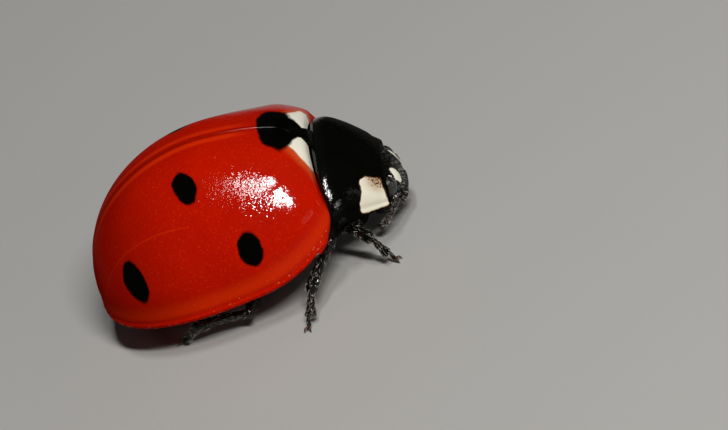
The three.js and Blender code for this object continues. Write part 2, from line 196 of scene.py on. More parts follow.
class Surface:
    """Closed forms gathered into the one mesh of a piece. Each form is turned so that its faces
    point outwards, which its signed volume tells."""

    def __init__(self):
        self.points, self.quads, self.fans, self.places, self.patches = [], [], [], [], []
        self.count = 0

    def add(self, points, quads, fans=None, place=None, patch=None):
        """One closed form of points, quads and triangles, with each point's place in the pattern and
        on the coat's map."""
        fans = np.zeros((0, 3), int) if fans is None else fans
        corners = np.concatenate([quads[:, :3], quads[:, [0, 2, 3]], fans])
        a, b, c = (points[corners[:, i]] for i in range(3))
        if np.einsum("ij,ij->", a, np.cross(b, c)) < 0:
            quads, fans = quads[:, ::-1], fans[:, ::-1]
        self.points.append(points)
        self.quads.append(quads + self.count)
        self.fans.append(fans + self.count)
        self.places.append(points if place is None else place)
        self.patches.append(np.zeros((len(points), 2)) if patch is None else patch)
        self.count += len(points)

    def shell(self, top, under, rim=(0.03, 0.12, 0.35, 0.65, 0.88, 0.97), place=None):
        """The solid between two sheets of points with the same numbers of rows and columns, joined
        round their borders by a rim of straight steps at those parts of the way."""
        rows, columns = top.shape[:2]
        flat_top, flat_under = top.reshape(-1, 3), under.reshape(-1, 3)
        edge = border(rows, columns)
        steps = np.array(rim)[:, None, None]
        strip = flat_top[edge] * (1 - steps) + flat_under[edge] * steps
        each = rows * columns
        sheet = grid_quads(rows, columns)
        loops = np.concatenate(
            [edge[None], 2 * each + np.arange(strip[..., 0].size).reshape(len(rim), -1), edge[None] + each]
        )
        index = grid_quads(len(loops), len(edge), around=True)
        points = np.concatenate([flat_top, flat_under, strip.reshape(-1, 3)])
        if place is not None:
            flat = place.reshape(-1, 3)
            place = np.concatenate([flat, flat, np.tile(flat[edge], (len(rim), 1))])
        quads = np.concatenate([sheet, sheet[:, ::-1] + each, loops.ravel()[index][:, ::-1]])
        self.add(points, quads, None, place)

    def tube(self, rings, patch=None):
        """A form of closed rings, rows by columns, closed at each end by a fan round a pole."""
        rows, columns = rings.shape[:2]
        poles = np.stack([rings[0].mean(0), rings[-1].mean(0)])
        points = np.concatenate([rings.reshape(-1, 3), poles])
        first = np.arange(columns)
        beside = (first + 1) % columns
        last = (rows - 1) * columns
        start = np.stack([np.full(columns, rows * columns), beside, first], -1)
        end = np.stack([np.full(columns, rows * columns + 1), last + first, last + beside], -1)
        if patch is not None:
            patch = np.concatenate([patch.reshape(-1, 2), patch[0].mean(0)[None], patch[-1].mean(0)[None]])
        self.add(points, grid_quads(rows, columns, around=True), np.concatenate([start, end]), None, patch)

    def mesh(self, name, coat=False):
        """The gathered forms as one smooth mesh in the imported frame, in metres."""
        points = (np.concatenate(self.points) + TO_FRAME) * MM
        quads, fans = np.concatenate(self.quads), np.concatenate(self.fans)
        corners = np.concatenate([quads.ravel(), fans.ravel()])
        sizes = np.concatenate([np.full(len(quads), 4), np.full(len(fans), 3)])
        mesh = bpy.data.meshes.new(name)
        mesh.vertices.add(len(points))
        mesh.vertices.foreach_set("co", points.astype(np.float32).ravel())
        mesh.loops.add(len(corners))
        mesh.loops.foreach_set("vertex_index", corners.astype(np.int32))
        mesh.polygons.add(len(sizes))
        mesh.polygons.foreach_set("loop_start", (np.cumsum(sizes) - sizes).astype(np.int32))
        mesh.update(calc_edges=True)
        mesh.shade_smooth()
        if coat:
            patches = np.concatenate(self.patches)[corners]
            mesh.uv_layers.new(name="OFBake").data.foreach_set("uv", patches.astype(np.float32).ravel())
        else:
            places = np.concatenate(self.places).astype(np.float32)
            mesh.attributes.new("place", "FLOAT_VECTOR", "POINT").data.foreach_set("vector", places.ravel())
        return mesh


def piece(name, surface, finish, nodes=(), coat=False):
    """Puts a surface into the scene as a piece that rides on the body."""
    obj = bpy.data.objects.new(name, surface.mesh(name, coat))
    bpy.context.scene.collection.objects.link(obj)
    obj.data.materials.append(finish)
    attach(obj, "root")
    if nodes:
        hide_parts(*nodes)


# ---------------------------------------------------------------- wing cases


def reach(y, middle, front, hind):
    """The distance from a line across the body as a part of the reach on that side of it."""
    return np.minimum(np.where(y < middle, (middle - y) / front, (y - middle) / hind), 1)


def shell_half_width(y):
    """Half the width of the dome at y: a superellipse that reaches further in front."""
    part = reach(y, SHELL["widest"], SHELL["front_reach"], SHELL["length"] - SHELL["widest"])
    half = SHELL["half_width"] * (1 - part ** SHELL["plan_power"]) ** (1 / SHELL["plan_root"])
    return np.maximum(half, SHELL["apex_half_width"])


def shell_fullness(y):
    """How much fuller than an ellipse the cross-section is: a parabola that ends behind the shoulders."""
    return SHELL["squareness"] * np.clip(1 - y / SHELL["square_length"], 0, 1) ** 2


def shell_edge(y):
    """The height of the lower edge: flat, with a parabola up to the shoulders."""
    return SHELL["shoulder_lift"] * np.clip(1 - y / SHELL["lift_length"], 0, 1) ** 2


def shell_ridge(y):
    """The height of the ridge above the edge: two quarter ellipses."""
    part = reach(y, SHELL["highest"], SHELL["front_rise"], SHELL["length"] - SHELL["highest"])
    return SHELL["height"] * np.sqrt(1 - part**2)


def dome(s, t, depth=0.0):
    """A point of the dome, s from its front to its apex and t from the ridge to the edge. At each y
    the section is out = half width * sin and up = ridge * cos of a quarter turn, with powers below
    one where it is full. The front edge bulges low down and its corner is a quarter circle over the
    height above the lower edge. depth moves the sheet in."""
    start = SHELL["front"]
    above = shell_ridge(start) * np.maximum(np.cos(t * QUARTER_TURN), 0) ** (1 - shell_fullness(start))
    front = start - SHELL["bow"] * t**2 - SHELL["front_bulge"] * bell(above, 0.32, 0.25)
    front = front + round_drop(above, SHELL["corner_radius"])
    along = 1 - (1 - s) ** 2
    y = front + (SHELL["length"] - front) * along
    full = shell_fullness(y)
    angle = t * QUARTER_TURN
    out = shell_half_width(y) * np.sin(angle) ** (1 - SHELL["out_squareness"] * full)
    out = out * (1 - depth / SHELL["half_width"])
    up = shell_ridge(y) * np.maximum(np.cos(angle), 0) ** (1 - full) * (1 - depth / SHELL["height"])
    return np.stack([out, front + (SHELL["length"] - depth - front) * along, shell_edge(y) + up], -1), up


def notch(y):
    """Where the wing case begins beside the suture, or beside the scutellum in front of its tip."""
    return 0.004 + np.maximum((SCUTELLUM["tip"] - y) / SCUTELLUM["slope"] + SCUTELLUM["gap"], 0)


def beside_suture(s):
    """Where each row of the wing case begins: its distance from the middle, and its part of the way
    from the ridge to the edge, which undoes the dome's sine."""
    y = SHELL["front"] + (SHELL["length"] - SHELL["front"]) * (1 - (1 - s) ** 2)
    start = notch(y)
    power = 1 / (1 - SHELL["out_squareness"] * shell_fullness(y))
    return start, np.arcsin(np.clip(start / shell_half_width(y), 0, 1) ** power) / QUARTER_TURN


# How far the wing case is pushed out, at which height above its edge and over how much of it, mm:
# the flare and the drawn-in band above it, then the raised bead and its groove.
FLARE = ((0.02, 0, 0.1), (-0.015, 0.32, 0.15))
BEAD = ((0.018, 0.04, 0.03), (-0.008, 0.11, 0.03))


def wing_case_sheets(rows=230, columns=150, turns=7):
    """The outer and inner sheets of the left wing case, with the outer sheet's pattern coordinates.

    The outer sheet is the dome, flared out along the plan's normal just above the edge to a raised
    bead with a groove above it, drawn in a little higher up, and rolled under: the last rows and
    columns turn through a bit more than a quarter circle, of a radius that grows from nothing behind
    the front corner. A low welt runs beside the suture, where the sheet drops by a quarter circle, as
    it does at the front. The pattern coordinates are y, the distance from the suture over the
    surface, and the height above the edge."""
    roll = np.radians(np.linspace(0, 105, turns + 1)[1:])
    s = np.concatenate([np.linspace(0, 1, rows), np.ones(turns)])[:, None]
    w = np.concatenate([(1 - np.cos(np.linspace(0, math.pi, columns))) / 2, np.ones(turns)])[None, :]
    turn = np.maximum(
        np.concatenate([np.zeros(rows), roll])[:, None],
        np.concatenate([np.zeros(columns), roll])[None, :],
    )
    start, t_start = beside_suture(s)
    top, up = dome(s, t_start + (1 - t_start) * w)
    y = top[..., 1]
    reach_hind = np.where(y < SHELL["widest"], SHELL["front_reach"], SHELL["length"] - SHELL["widest"])
    edge_x = shell_half_width(y) / SHELL["half_width"] ** 2
    normal = unit(np.stack([edge_x, (y - SHELL["widest"]) / reach_hind**2, 0 * y], -1))
    flare = bells(up, FLARE) + bells(up, BEAD) * ease(y[-1:] - y, 0, 0.6)
    bead = 0.045 * ease(y - y[:1], 0, 0.35)
    top = top + normal * (flare - bead * (1 - np.cos(turn)))[..., None]
    callus = 0.05 * bell(y, 0.62, 0.34) * bell(top[..., 0], 1.62, 0.3)
    aside = top[..., 0] - start
    welt = 0.012 * bell(aside, 0.16, 0.06) * ease(y, 0.9, 1.5)
    seam_drop = (0.25 + 0.45 * ease(-y, -1.8, -1.2)) * round_drop(aside, 0.05)
    front_drop = round_drop(y - y[0], 0.09)
    top[..., 2] += callus + welt - bead * np.sin(turn) - seam_drop - front_drop
    step = np.linalg.norm(np.diff(top, axis=1), axis=-1)
    across = start + np.concatenate([np.zeros_like(step[:, :1]), np.cumsum(step, axis=1)], axis=1)
    place = np.stack([y, across, up], -1)

    s_in = np.linspace(0, 1, rows + turns)[:, None]
    _, t_in = beside_suture(s_in)
    under, _ = dome(s_in, t_in + (1 - t_in) * np.linspace(0, 1, columns + turns)[None, :], SHELL["thickness"])
    return top, under, place


def wing_case(side):
    """One wing case: the shell between its two sheets, mirrored for the right side."""
    surface = Surface()
    top, under, place = wing_case_sheets()
    mirror = np.array([side, 1, 1])
    surface.shell(top * mirror, under * mirror, place=place)
    return surface


def scutellum():
    """The triangle between the wing cases: its half width falls evenly to its tip, its surface follows
    the dome's ridge just below it and is arched across as a parabola."""
    y = np.linspace(-0.1, SCUTELLUM["tip"] - 0.01, 40)[:, None]
    t = np.linspace(-1, 1, 41)[None, :]
    half = (SCUTELLUM["tip"] - y) / SCUTELLUM["slope"]
    ridge = shell_edge(y) + shell_ridge(y)
    fall = ridge * (1 - np.sqrt(1 - (np.clip(half * t, -1, 1) / shell_half_width(y)) ** 2))
    z = ridge - 0.045 - 0.8 * fall + 0.02 * (1 - t**2) - 0.5 * round_drop(half * (1 - abs(t)), 0.03)
    top = np.stack([half * t, y + 0 * t, z], -1)
    surface = Surface()
    surface.shell(top, top - np.array([0, 0, 0.15]))
    return surface


# ---------------------------------------------------------------- shield over the thorax


def shield_thickness(forward):
    """From the hind edge's thickness to the front edge's, evenly."""
    return SHIELD["hind_thickness"] + (SHIELD["front_thickness"] - SHIELD["hind_thickness"]) * forward


def shield_point(forward, t, depth=0.0):
    """A point of the shield, forward from its hind edge 0 to its front edge 1 and t from -1 at its
    right edge to 1 at its left. Width, crest and edge run evenly forwards, the crest with a bulge,
    and across the section is the upper half of an ellipse made fuller by a power. depth moves the
    sheet in."""
    full = 1 - SHIELD["squareness"]
    out = np.sign(t) * abs(np.sin(t * QUARTER_TURN)) ** full
    up = np.maximum(np.cos(t * QUARTER_TURN), 0) ** full
    hind = SHIELD["hind"] - SHELL["bow"] * t**2
    front = SHIELD["front"] + SHIELD["front_notch"] * t**2
    shrink = SHIELD["front_half_width"] - SHIELD["hind_half_width"]
    half = SHIELD["hind_half_width"] + shrink * np.maximum(forward, 0) ** SHIELD["narrowing"] - depth
    crest = SHIELD["hind_crest"] + (SHIELD["front_crest"] - SHIELD["hind_crest"]) * forward
    crest = crest + SHIELD["crown"] * 4 * forward * (1 - forward) - depth
    edge = SHIELD["hind_edge"] + (SHIELD["front_edge"] - SHIELD["hind_edge"]) * forward
    return np.stack([half * out, hind + (front - hind) * forward, edge + (crest - edge) * up], -1)


def shield(rows=120, columns=260, turns=6):
    """The shield: its outer sheet rolls round a thin bead at the sides and the front, has a shallow
    groove inside that bead, and bends down in a parabola to its hind edge."""
    bead = 0.03
    roll = np.radians(np.linspace(0, 100, turns + 1)[1:])
    forward = np.concatenate([np.linspace(0, 1, rows), np.ones(turns)])[:, None]
    t = np.concatenate([-np.ones(turns), np.linspace(-1, 1, columns), np.ones(turns)])[None, :]
    turn = np.maximum(
        np.concatenate([np.zeros(rows), roll])[:, None],
        np.concatenate([roll[::-1], np.zeros(columns), roll])[None, :],
    )
    top = shield_point(forward, t)
    outward = unit(np.stack([t * (1 - 0.3 * forward), -(forward**6) + 0 * t, 0 * t * forward], -1))
    from_side = 1 - abs(t)
    from_front = 1 - forward
    groove = 0.022 * (bell(from_side, 0.07, 0.035) + bell(from_front, 0.1, 0.05) * ease(abs(t), 0.2, 0.6))
    lip = 0.02 * bell(from_side, 0, 0.03)
    top = top + outward * (lip - bead * (1 - np.cos(turn)))[..., None]
    along = forward * (SHIELD["hind"] - SHIELD["front"])
    hind_drop = 0.155 * np.maximum(1 - along / 0.51, 0) ** 2 + round_drop(along, 0.05)
    normal = unit(np.stack([top[..., 0], -0.8 + 0 * top[..., 0], 1.2 + 0 * top[..., 0]], -1))
    top = top - normal * groove[..., None]
    top[..., 2] -= bead * np.sin(turn) + hind_drop
    place = np.stack([forward + 0 * t, t + 0 * forward, top[..., 2]], -1)

    rows_in, columns_in = rows + turns, columns + 2 * turns
    forward_in = np.linspace(0, 1, rows_in)[:, None]
    under = shield_point(forward_in, np.linspace(-1, 1, columns_in)[None, :], shield_thickness(forward_in))
    surface = Surface()
    surface.shell(top, under, place=place)
    return surface


# ---------------------------------------------------------------- head


def squared_ball(direction, flat_plan, flat_rise):
    """Unit directions pushed out to a ball whose plan and height are squared by two powers."""
    level = np.maximum(np.hypot(direction[..., 0], direction[..., 1]), 1e-9)
    plan = np.sign(direction[..., :2]) * (abs(direction[..., :2]) / level[..., None]) ** flat_plan
    rise = np.sign(direction[..., 2]) * abs(direction[..., 2]) ** flat_rise
    return np.concatenate([plan * (level**flat_rise)[..., None], rise[..., None]], -1)


def ball_directions(rows, columns):
    """Unit directions in rings round the x axis."""
    tilt = np.linspace(0, math.pi, rows + 2)[1:-1][:, None]
    spin = np.linspace(0, 2 * math.pi, columns, endpoint=False)[None, :]
    return np.stack([np.cos(tilt) + 0 * spin, np.sin(tilt) * np.cos(spin), np.sin(tilt) * np.sin(spin)], -1)


def ball(centre, radii, rows=40, columns=56, flat=(1.0, 1.0)):
    """A squared ball of those radii round a centre, as rings."""
    return np.array(centre) + np.array(radii) * squared_ball(ball_directions(rows, columns), *flat)


def mirrored(centre, side):
    """A point or path of the left side, on either side."""
    return np.array(centre, float) * np.array([side, 1, 1])


def skull():
    """The head capsule: a squared ball, pushed along its directions by bells that hollow the face
    between the eyes, sink the eye and feeler sockets and the groove above the clypeus, and raise the
    clypeus and the cheeks."""
    direction = ball_directions(170, 220)
    centre = np.array(HEAD["centre"])
    points = centre + np.array(HEAD["radii"]) * squared_ball(direction, HEAD["flat_plan"], HEAD["flat_rise"])
    x, y, z = abs(points[..., 0]), points[..., 1], points[..., 2]
    facing = ease(-y, 1.0, 1.35)
    push = -0.025 * bell(x, 0, 0.28) * bell(z, 0.15, 0.22) * facing
    push -= 0.06 * bell(x, 0.63, 0.09) * bell(z, -0.2, 0.09) * facing
    push += 0.045 * ease(-x, -0.48, -0.34) * ease(-z, 0.17, 0.27) * ease(z, -0.55, -0.45) * facing
    push -= 0.025 * bell(z, -0.17, 0.03) * ease(-x, -0.48, -0.36) * facing
    push += 0.015 * bell(x, 0.42, 0.12) * bell(z, 0.15, 0.25) * facing
    beside = np.stack([x, y, z], -1)
    eye_gap = np.linalg.norm((beside - EYE["centre"]) / (np.array(EYE["radii"]) * 1.12), axis=-1)
    push -= 0.05 * bell(eye_gap, 1, 0.16)
    return points + unit(direction) * push[..., None]


def limb(path, stops, reference, rows=40, columns=24, flat=1.0, cap=0.5, lengthen=0.0):
    """Rings of a limb along the smooth curve through a path. The half width across the reference
    direction follows the (part, value) stops, the other one is flat times that, and both follow a
    quarter circle where the limb closes, over cap times the end's half width."""
    q = (1 - np.cos(np.linspace(0, math.pi, rows + 2)[1:-1])) / 2
    q = -lengthen + q * (1 + 2 * lengthen)
    inside = np.clip(q, 0, 1)
    fine = through(path, np.linspace(0, 1, 200))
    length = np.linalg.norm(np.diff(fine, axis=0), axis=1).sum()
    centre = through(path, inside)
    ahead = unit(through(path, np.clip(inside + 0.01, 0, 1)) - through(path, np.clip(inside - 0.01, 0, 1)))
    centre = centre + ahead * ((q - inside) * length)[:, None]
    across = unit(np.cross(ahead, np.array(reference, float)))
    upward = np.cross(across, ahead)
    half = profile(inside, stops)
    end = np.minimum(q + lengthen, 1 + lengthen - q) * length
    closing = np.clip(end / np.maximum(cap * half, 1e-6), 0, 1)
    half = half * np.sqrt(1 - (1 - closing) ** 2)
    spin = np.linspace(0, 2 * math.pi, columns, endpoint=False)[None, :, None]
    return (
        centre[:, None]
        + across[:, None] * np.cos(spin) * (half * flat)[:, None, None]
        + upward[:, None] * np.sin(spin) * half[:, None, None]
    )


def part_of(path, low, high, count=9):
    """The stretch of a path's curve between two parts of its length."""
    return through(path, np.linspace(low, high, count))


def antenna(side):
    """Eleven joints: a stout first, a round second, six small ones and a club of three that widen,
    each a short limb with a narrow start."""
    path = mirrored(ANTENNA_PATH, side)
    ahead = unit(path[-1] - path[-2])
    path = np.concatenate([path, [path[-1] + ahead * 0.12]])
    surface = Surface()
    ends = np.array([0, 0.17, 0.27, 0.36, 0.43, 0.49, 0.55, 0.61, 0.67, 0.78, 0.89, 1.0])
    girth = [0.062, 0.05, 0.036, 0.033, 0.033, 0.034, 0.036, 0.04, 0.07, 0.094, 0.088]
    for k, half in enumerate(girth):
        waist = 0.5 if k else 0.8
        stops = [(0, half * waist), (0.55, half), (1, half * 0.85)]
        joint = part_of(path, ends[k] - 0.012, ends[k + 1])
        surface.tube(limb(joint, stops, (0, 0, 1), 14, 18, flat=0.85, cap=0.6))
    return surface


def palp(side):
    """Two small joints and a hatchet: the last joint widens in the plane of the face to a blunt edge."""
    path = mirrored(PALP_PATH, side)
    surface = Surface()
    surface.tube(limb(part_of(path, 0, 0.4), [(0, 0.04), (0.6, 0.055), (1, 0.05)], (0, 0, 1), 14, 18))
    surface.tube(limb(part_of(path, 0.3, 0.62), [(0, 0.04), (0.7, 0.06), (1, 0.05)], (0, 0, 1), 14, 18))
    blade = [(0, 0.045), (0.45, 0.09), (0.85, 0.125), (1, 0.115)]
    surface.tube(limb(part_of(path, 0.55, 1), blade, (1, 0, 0), 26, 28, flat=0.5, cap=0.35, lengthen=0.12))
    return surface


def mandible(side):
    """A curved blade that tapers to its tip."""
    path = mirrored(MANDIBLE_PATH, side)
    surface = Surface()
    surface.tube(limb(path, [(0, 0.11), (0.5, 0.09), (1, 0.04)], (0, 1, 0), 26, 24, flat=0.75, lengthen=0.1))
    return surface


# ---------------------------------------------------------------- trunk


def shell_roof(s, t):
    """The inside of the wing cases, t from -1 at the right edge to 1 at the left."""
    points, _ = dome(s, abs(t), SHELL["thickness"] + 0.03)
    return points * np.stack([np.sign(t) + 0 * s, 1 + 0 * s * t, 1 + 0 * s * t], -1)


def shield_roof(s, t):
    """The inside of the shield, s from its front edge to its hind edge."""
    forward = 1 - s
    return shield_point(forward, t, shield_thickness(forward) + 0.03)


def belly_under(roof, depth, s, t):
    """The belly below a roof: from the roof's edge down to a depth as a power of a cosine, which
    makes it flat in the middle. The depth runs out at the hind end."""
    top = roof(s, t)
    edge = roof(s, np.ones_like(t))[..., 2]
    droop = np.maximum(np.cos(t * QUARTER_TURN), 0) ** TRUNK["flatness"]
    low = -depth * (1 - s**8)
    return np.stack([top[..., 0], top[..., 1], edge + (low - edge) * droop], -1)


def trunk_sheets(roof, depth, start, end, relief, rows, columns, wide=1.0):
    """The roof and the belly between two y lines, out to a part of the width. The belly is pushed
    down by a relief of its points."""
    fine = np.linspace(0, 1, 2001)
    y = roof(fine, np.zeros_like(fine))[..., 1]
    s = np.interp(np.linspace(start, end, rows), y, fine)[:, None]
    t = np.linspace(-wide, wide, columns)[None, :]
    belly = belly_under(roof, depth, s, t)
    belly[..., 2] -= relief(belly[..., 0], belly[..., 1]) * ease(1 - abs(t), 0, 0.2)
    return roof(s, t), belly


def trunk_part(*slice_values):
    """A slice of the trunk between its two sheets."""
    surface = Surface()
    surface.shell(*trunk_sheets(*slice_values))
    return surface


def throat_relief(x, y):
    """A keel between the front coxae and a groove on each side of it."""
    return 0.05 * bell(x, 0, 0.12) - 0.03 * bell(abs(x), 0.24, 0.06)


def breast_relief(x, y):
    """Plates and seams: a shallow line down the middle, a seam behind the middle coxae, slanted seams
    to the side plates and a raised plate between them."""
    side_seam = bell(abs(x), 1.45 + 0.25 * (y - 1), 0.03)
    return (
        0.05 * bell(x, 0, 0.7) * ease(y, 0.7, 1.2)
        - 0.03 * bell(x, 0, 0.02) * ease(y, 1.2, 1.4)
        - 0.035 * side_seam
        - 0.03 * bell(y, 0.62 + 0.1 * x * x, 0.03)
        - 0.04 * bell(y, 0.25, 0.05)
    )


BELLY_RINGS = (2.05, 2.98, 3.58, 4.08, 4.5, 4.88, 5.4)  # the hind edges of the abdomen's plates


def abdomen_relief(x, y):
    """Overlapping plates: each thickens evenly to its hind edge and falls back over a short step."""
    edges = np.array(BELLY_RINGS)
    bowed = y + 0.06 * x * x / 4
    k = np.clip(np.searchsorted(edges, bowed, side="right") - 1, 0, len(edges) - 2)
    part = (bowed - edges[k]) / (edges[k + 1] - edges[k])
    return 0.05 * part * (1 - ease(part, 0.93, 1.0)) - 0.012 * bell(part, 0.0, 0.05)


def coxae(pair):
    """The short joints in which a pair of legs turns, as squared balls."""
    surface = Surface()
    x, y, z = LEGS[pair + "_left"][0]
    for side in SIDES.values():
        surface.tube(ball((side * x, y, z), COXAE[pair], 30, 40))
    return surface


# ---------------------------------------------------------------- legs


def middle(a, b, lift):
    """The point halfway between two, lifted."""
    return (np.array(a) + np.array(b)) / 2 + np.array([0, 0, lift])


def leg_frame(joints):
    """The unit normal of the plane in which the knee bends."""
    hip, knee, ankle, _ = (np.array(p) for p in joints)
    return unit(np.cross(knee - hip, ankle - knee))


def femur_rings(joints):
    """A flattened spindle in the plane of the leg."""
    hip, knee = joints[:2]
    path = [hip, middle(hip, knee, 0.03), knee]
    stops = [(0, 0.12), (0.2, 0.17), (0.55, 0.215), (0.85, 0.19), (1, 0.15)]
    return limb(path, stops, leg_frame(joints), 60, 36, flat=0.7, cap=1.0, lengthen=0.08)


def tibia_rings(joints):
    """A slender shaft with a round knee that widens slowly to the ankle."""
    knee, ankle = joints[1:3]
    path = [knee, middle(knee, ankle, 0.04), ankle]
    stops = [(0, 0.125), (0.1, 0.105), (0.55, 0.12), (0.92, 0.15), (1, 0.125)]
    return limb(path, stops, leg_frame(joints), 56, 32, flat=0.75, cap=0.9, lengthen=0.05)


def tarsus_paths(joints):
    """Where the foot's joints lie: the first, the lobed second, and the slender claw joint that
    leaves the second's top and comes down to the toe."""
    ankle, toe = (np.array(p) for p in joints[2:])
    path = [ankle, middle(ankle, toe, -0.03), toe]
    out = unit((toe - ankle) * [1, 1, 0])
    start = through(path, np.array([0.55]))[0] + [0, 0, 0.04]
    end = toe + out * 0.02 + np.array([0, 0, 0.015])
    claw = [start, (start + end) / 2 + np.array([0, 0, 0.05]) + out * 0.02, end]
    return part_of(path, 0.0, 0.4), part_of(path, 0.33, 0.74), claw, out


def tarsus_rings(joints):
    """The three visible joints of the foot: two that widen and flatten like soles, and the claw joint."""
    first, second, claw, out = tarsus_paths(joints)
    up = (out[0] * 0.2, out[1] * 0.2, 1.0)
    return [
        limb(first, [(0, 0.05), (0.6, 0.075), (1, 0.095)], up, 24, 24, flat=1.2, cap=0.7),
        limb(second, [(0, 0.055), (0.5, 0.085), (0.85, 0.1), (1, 0.085)], up, 30, 28, flat=1.5, cap=0.6),
        limb(claw, [(0, 0.036), (0.5, 0.04), (1, 0.055)], up, 26, 20, flat=1.0, cap=0.8),
    ]


def spurs(joints):
    """Two short spines below the end of the shin."""
    surface = Surface()
    knee, ankle = (np.array(p) for p in joints[1:3])
    ahead = unit(ankle - knee)
    normal = leg_frame(joints)
    for turn in (-1, 1):
        start = ankle - ahead * 0.05 + normal * 0.05 * turn - np.array([0, 0, 0.06])
        tip = start + ahead * 0.1 + normal * 0.02 * turn - np.array([0, 0, 0.05])
        surface.tube(limb([start, (start + tip) / 2, tip], [(0, 0.016), (1, 0.004)], normal, 10, 8))
    return surface


def claws(joints):
    """Two hooked claws, each with a tooth at its base, that reach the floor."""
    surface = Surface()
    toe = np.array(joints[3])
    _, _, _, out = tarsus_paths(joints)
    aside = np.array([-out[1], out[0], 0])
    for turn in (-1, 1):
        base = toe + out * 0.03 + aside * 0.02 * turn + np.array([0, 0, 0.015])
        heading = unit(out + aside * 0.55 * turn)
        bend = base + heading * 0.08 + np.array([0, 0, 0.012])
        tip = base + heading * 0.145 + np.array([0, 0, FLOOR_Z - base[2] + 0.004])
        surface.tube(limb([base, bend, tip], [(0, 0.03), (0.5, 0.024), (1, 0.004)], (0, 0, 1), 22, 12))
        tooth = base + heading * 0.05 + np.array([0, 0, FLOOR_Z - base[2] + 0.012])
        surface.tube(limb([base, (base + tooth) / 2, tooth], [(0, 0.026), (1, 0.006)], (1, 0, 0), 12, 10))
    return surface


# ---------------------------------------------------------------- setae


PATCH = 0.003  # the size of each hair's place on the coat's map
HAIR_GIRTH = 0.004  # half the thickness of a hair at its root, mm


def hairs(surface, roots, normals, lies, lengths, girth, places, lift=0.5, sides=3):
    """Curved, tapering hairs, all worked out at once. At a part q of its length a hair lies at
    root + length * (q * (lift * normal + (1 - lift) * lie) + q^2 / 3 * lie), and its half thickness
    is girth * (1 - 0.9 q). places are the roots on the skin's unwrap, and each hair's map is a small
    patch there."""
    q = np.array([-0.06, 0.35, 0.7, 1.0])
    count = len(roots)
    span = lengths[:, None, None]
    heading = lift * normals + (1 - lift) * lies
    rise = q[None, :, None] * heading[:, None]
    bend = (q * abs(q))[None, :, None] / 3 * lies[:, None]
    centre = roots[:, None] + span * (rise + bend)
    across = unit(np.cross(heading, normals + 1e-3))
    upward = unit(np.cross(across, heading))
    spin = np.linspace(0, 2 * math.pi, sides, endpoint=False)
    ring = across[:, None, None] * np.cos(spin)[:, None] + upward[:, None, None] * np.sin(spin)[:, None]
    half = girth * (1 - 0.9 * np.clip(q, 0, 1))[None, :, None, None]
    points = centre[:, :, None] + ring * half
    rows = len(q)
    each = rows * sides
    quads = grid_quads(rows, sides, around=True)
    caps = np.array([[0, 2, 1], [each - 3, each - 2, each - 1]])
    shift = np.arange(count)[:, None, None] * each
    patch = places[:, None, None] * (1 - PATCH) + PATCH * np.stack(
        np.broadcast_arrays(np.linspace(0, 1, rows)[:, None], (np.arange(sides) / sides)[None, :]), -1
    )
    surface.add(
        points.reshape(-1, 3),
        (quads[None] + shift).reshape(-1, 4),
        (caps[None] + shift).reshape(-1, 3),
        None,
        patch.reshape(-1, 2),
    )


def rooted(rings, count, draw, around=True, keep=None, sink=0.004):
    """Random roots on a grid of points: their places, outward normals, directions along the rows and
    coordinates on the grid's unwrap. keep chooses among them by a function of the points."""
    rows, columns = rings.shape[:2]
    inner = (rings[:-1] + rings[1:]) / 2
    along = unit(np.roll(rings, -1, 0)[:-1] - rings[:-1])
    sideways = np.roll(rings, -1, 1)[:-1] - np.roll(rings, 1, 1)[:-1]
    normal = unit(np.cross(sideways, along))
    if np.einsum("ijk,ijk->", normal, inner - inner.mean(1, keepdims=True)) < 0:
        normal = -normal
    size = np.linalg.norm(sideways, axis=-1) * np.linalg.norm(rings[1:] - rings[:-1], axis=-1)
    allowed = np.ones(size.shape) if keep is None else keep(inner)
    if not around:
        allowed[:, [0, -1]] = 0
    chance = (size * allowed).ravel()
    pick = draw.choice(chance.size, count, p=chance / chance.sum())
    row, column = np.divmod(pick, columns)
    part = draw.random((count, 1))
    beside = (column + 1) % columns
    root = inner[row, column] * (1 - part) + inner[row, beside] * part
    uv = np.stack([(column + part[:, 0]) / columns, (row + 0.5) / rows], -1)
    facing = normal[row, column]
    return root - facing * sink, facing, along[row, column], np.clip(uv, 0, 0.999)


def tiled(places, number, across=6, down=5):
    """Places on one of several unwraps that share the map, laid out as tiles."""
    return (places * 0.98 + np.array([number % across, number // across])) / np.array([across, down])


def leg_setae(settings):
    """Short pale hairs on the shins and feet, fewer on the thighs, leaning towards the toe."""
    draw = np.random.default_rng(11)
    surface = Surface()
    number = 0
    for joints in LEGS.values():
        femur, tibia = femur_rings(joints), tibia_rings(joints)
        first, second, claw = tarsus_rings(joints)
        coats = [
            (femur, 40, 0.1, 0.35),
            (tibia, 90, 0.12, 0.38),
            (first, 45, 0.09, 0.42),
            (second, 60, 0.085, 0.45),
            (claw, 24, 0.06, 0.4),
        ]
        for rings, count, length, lift in coats:
            root, normal, along, place = rooted(rings, count, draw)
            lengths = length * settings.hair_length * draw.uniform(0.6, 1.15, count)
            lie = unit(along + 0.25 * draw.normal(size=(count, 3)))
            hairs(surface, root, normal, lie, lengths, HAIR_GIRTH, tiled(place, number), lift)
            number += 1
    return surface


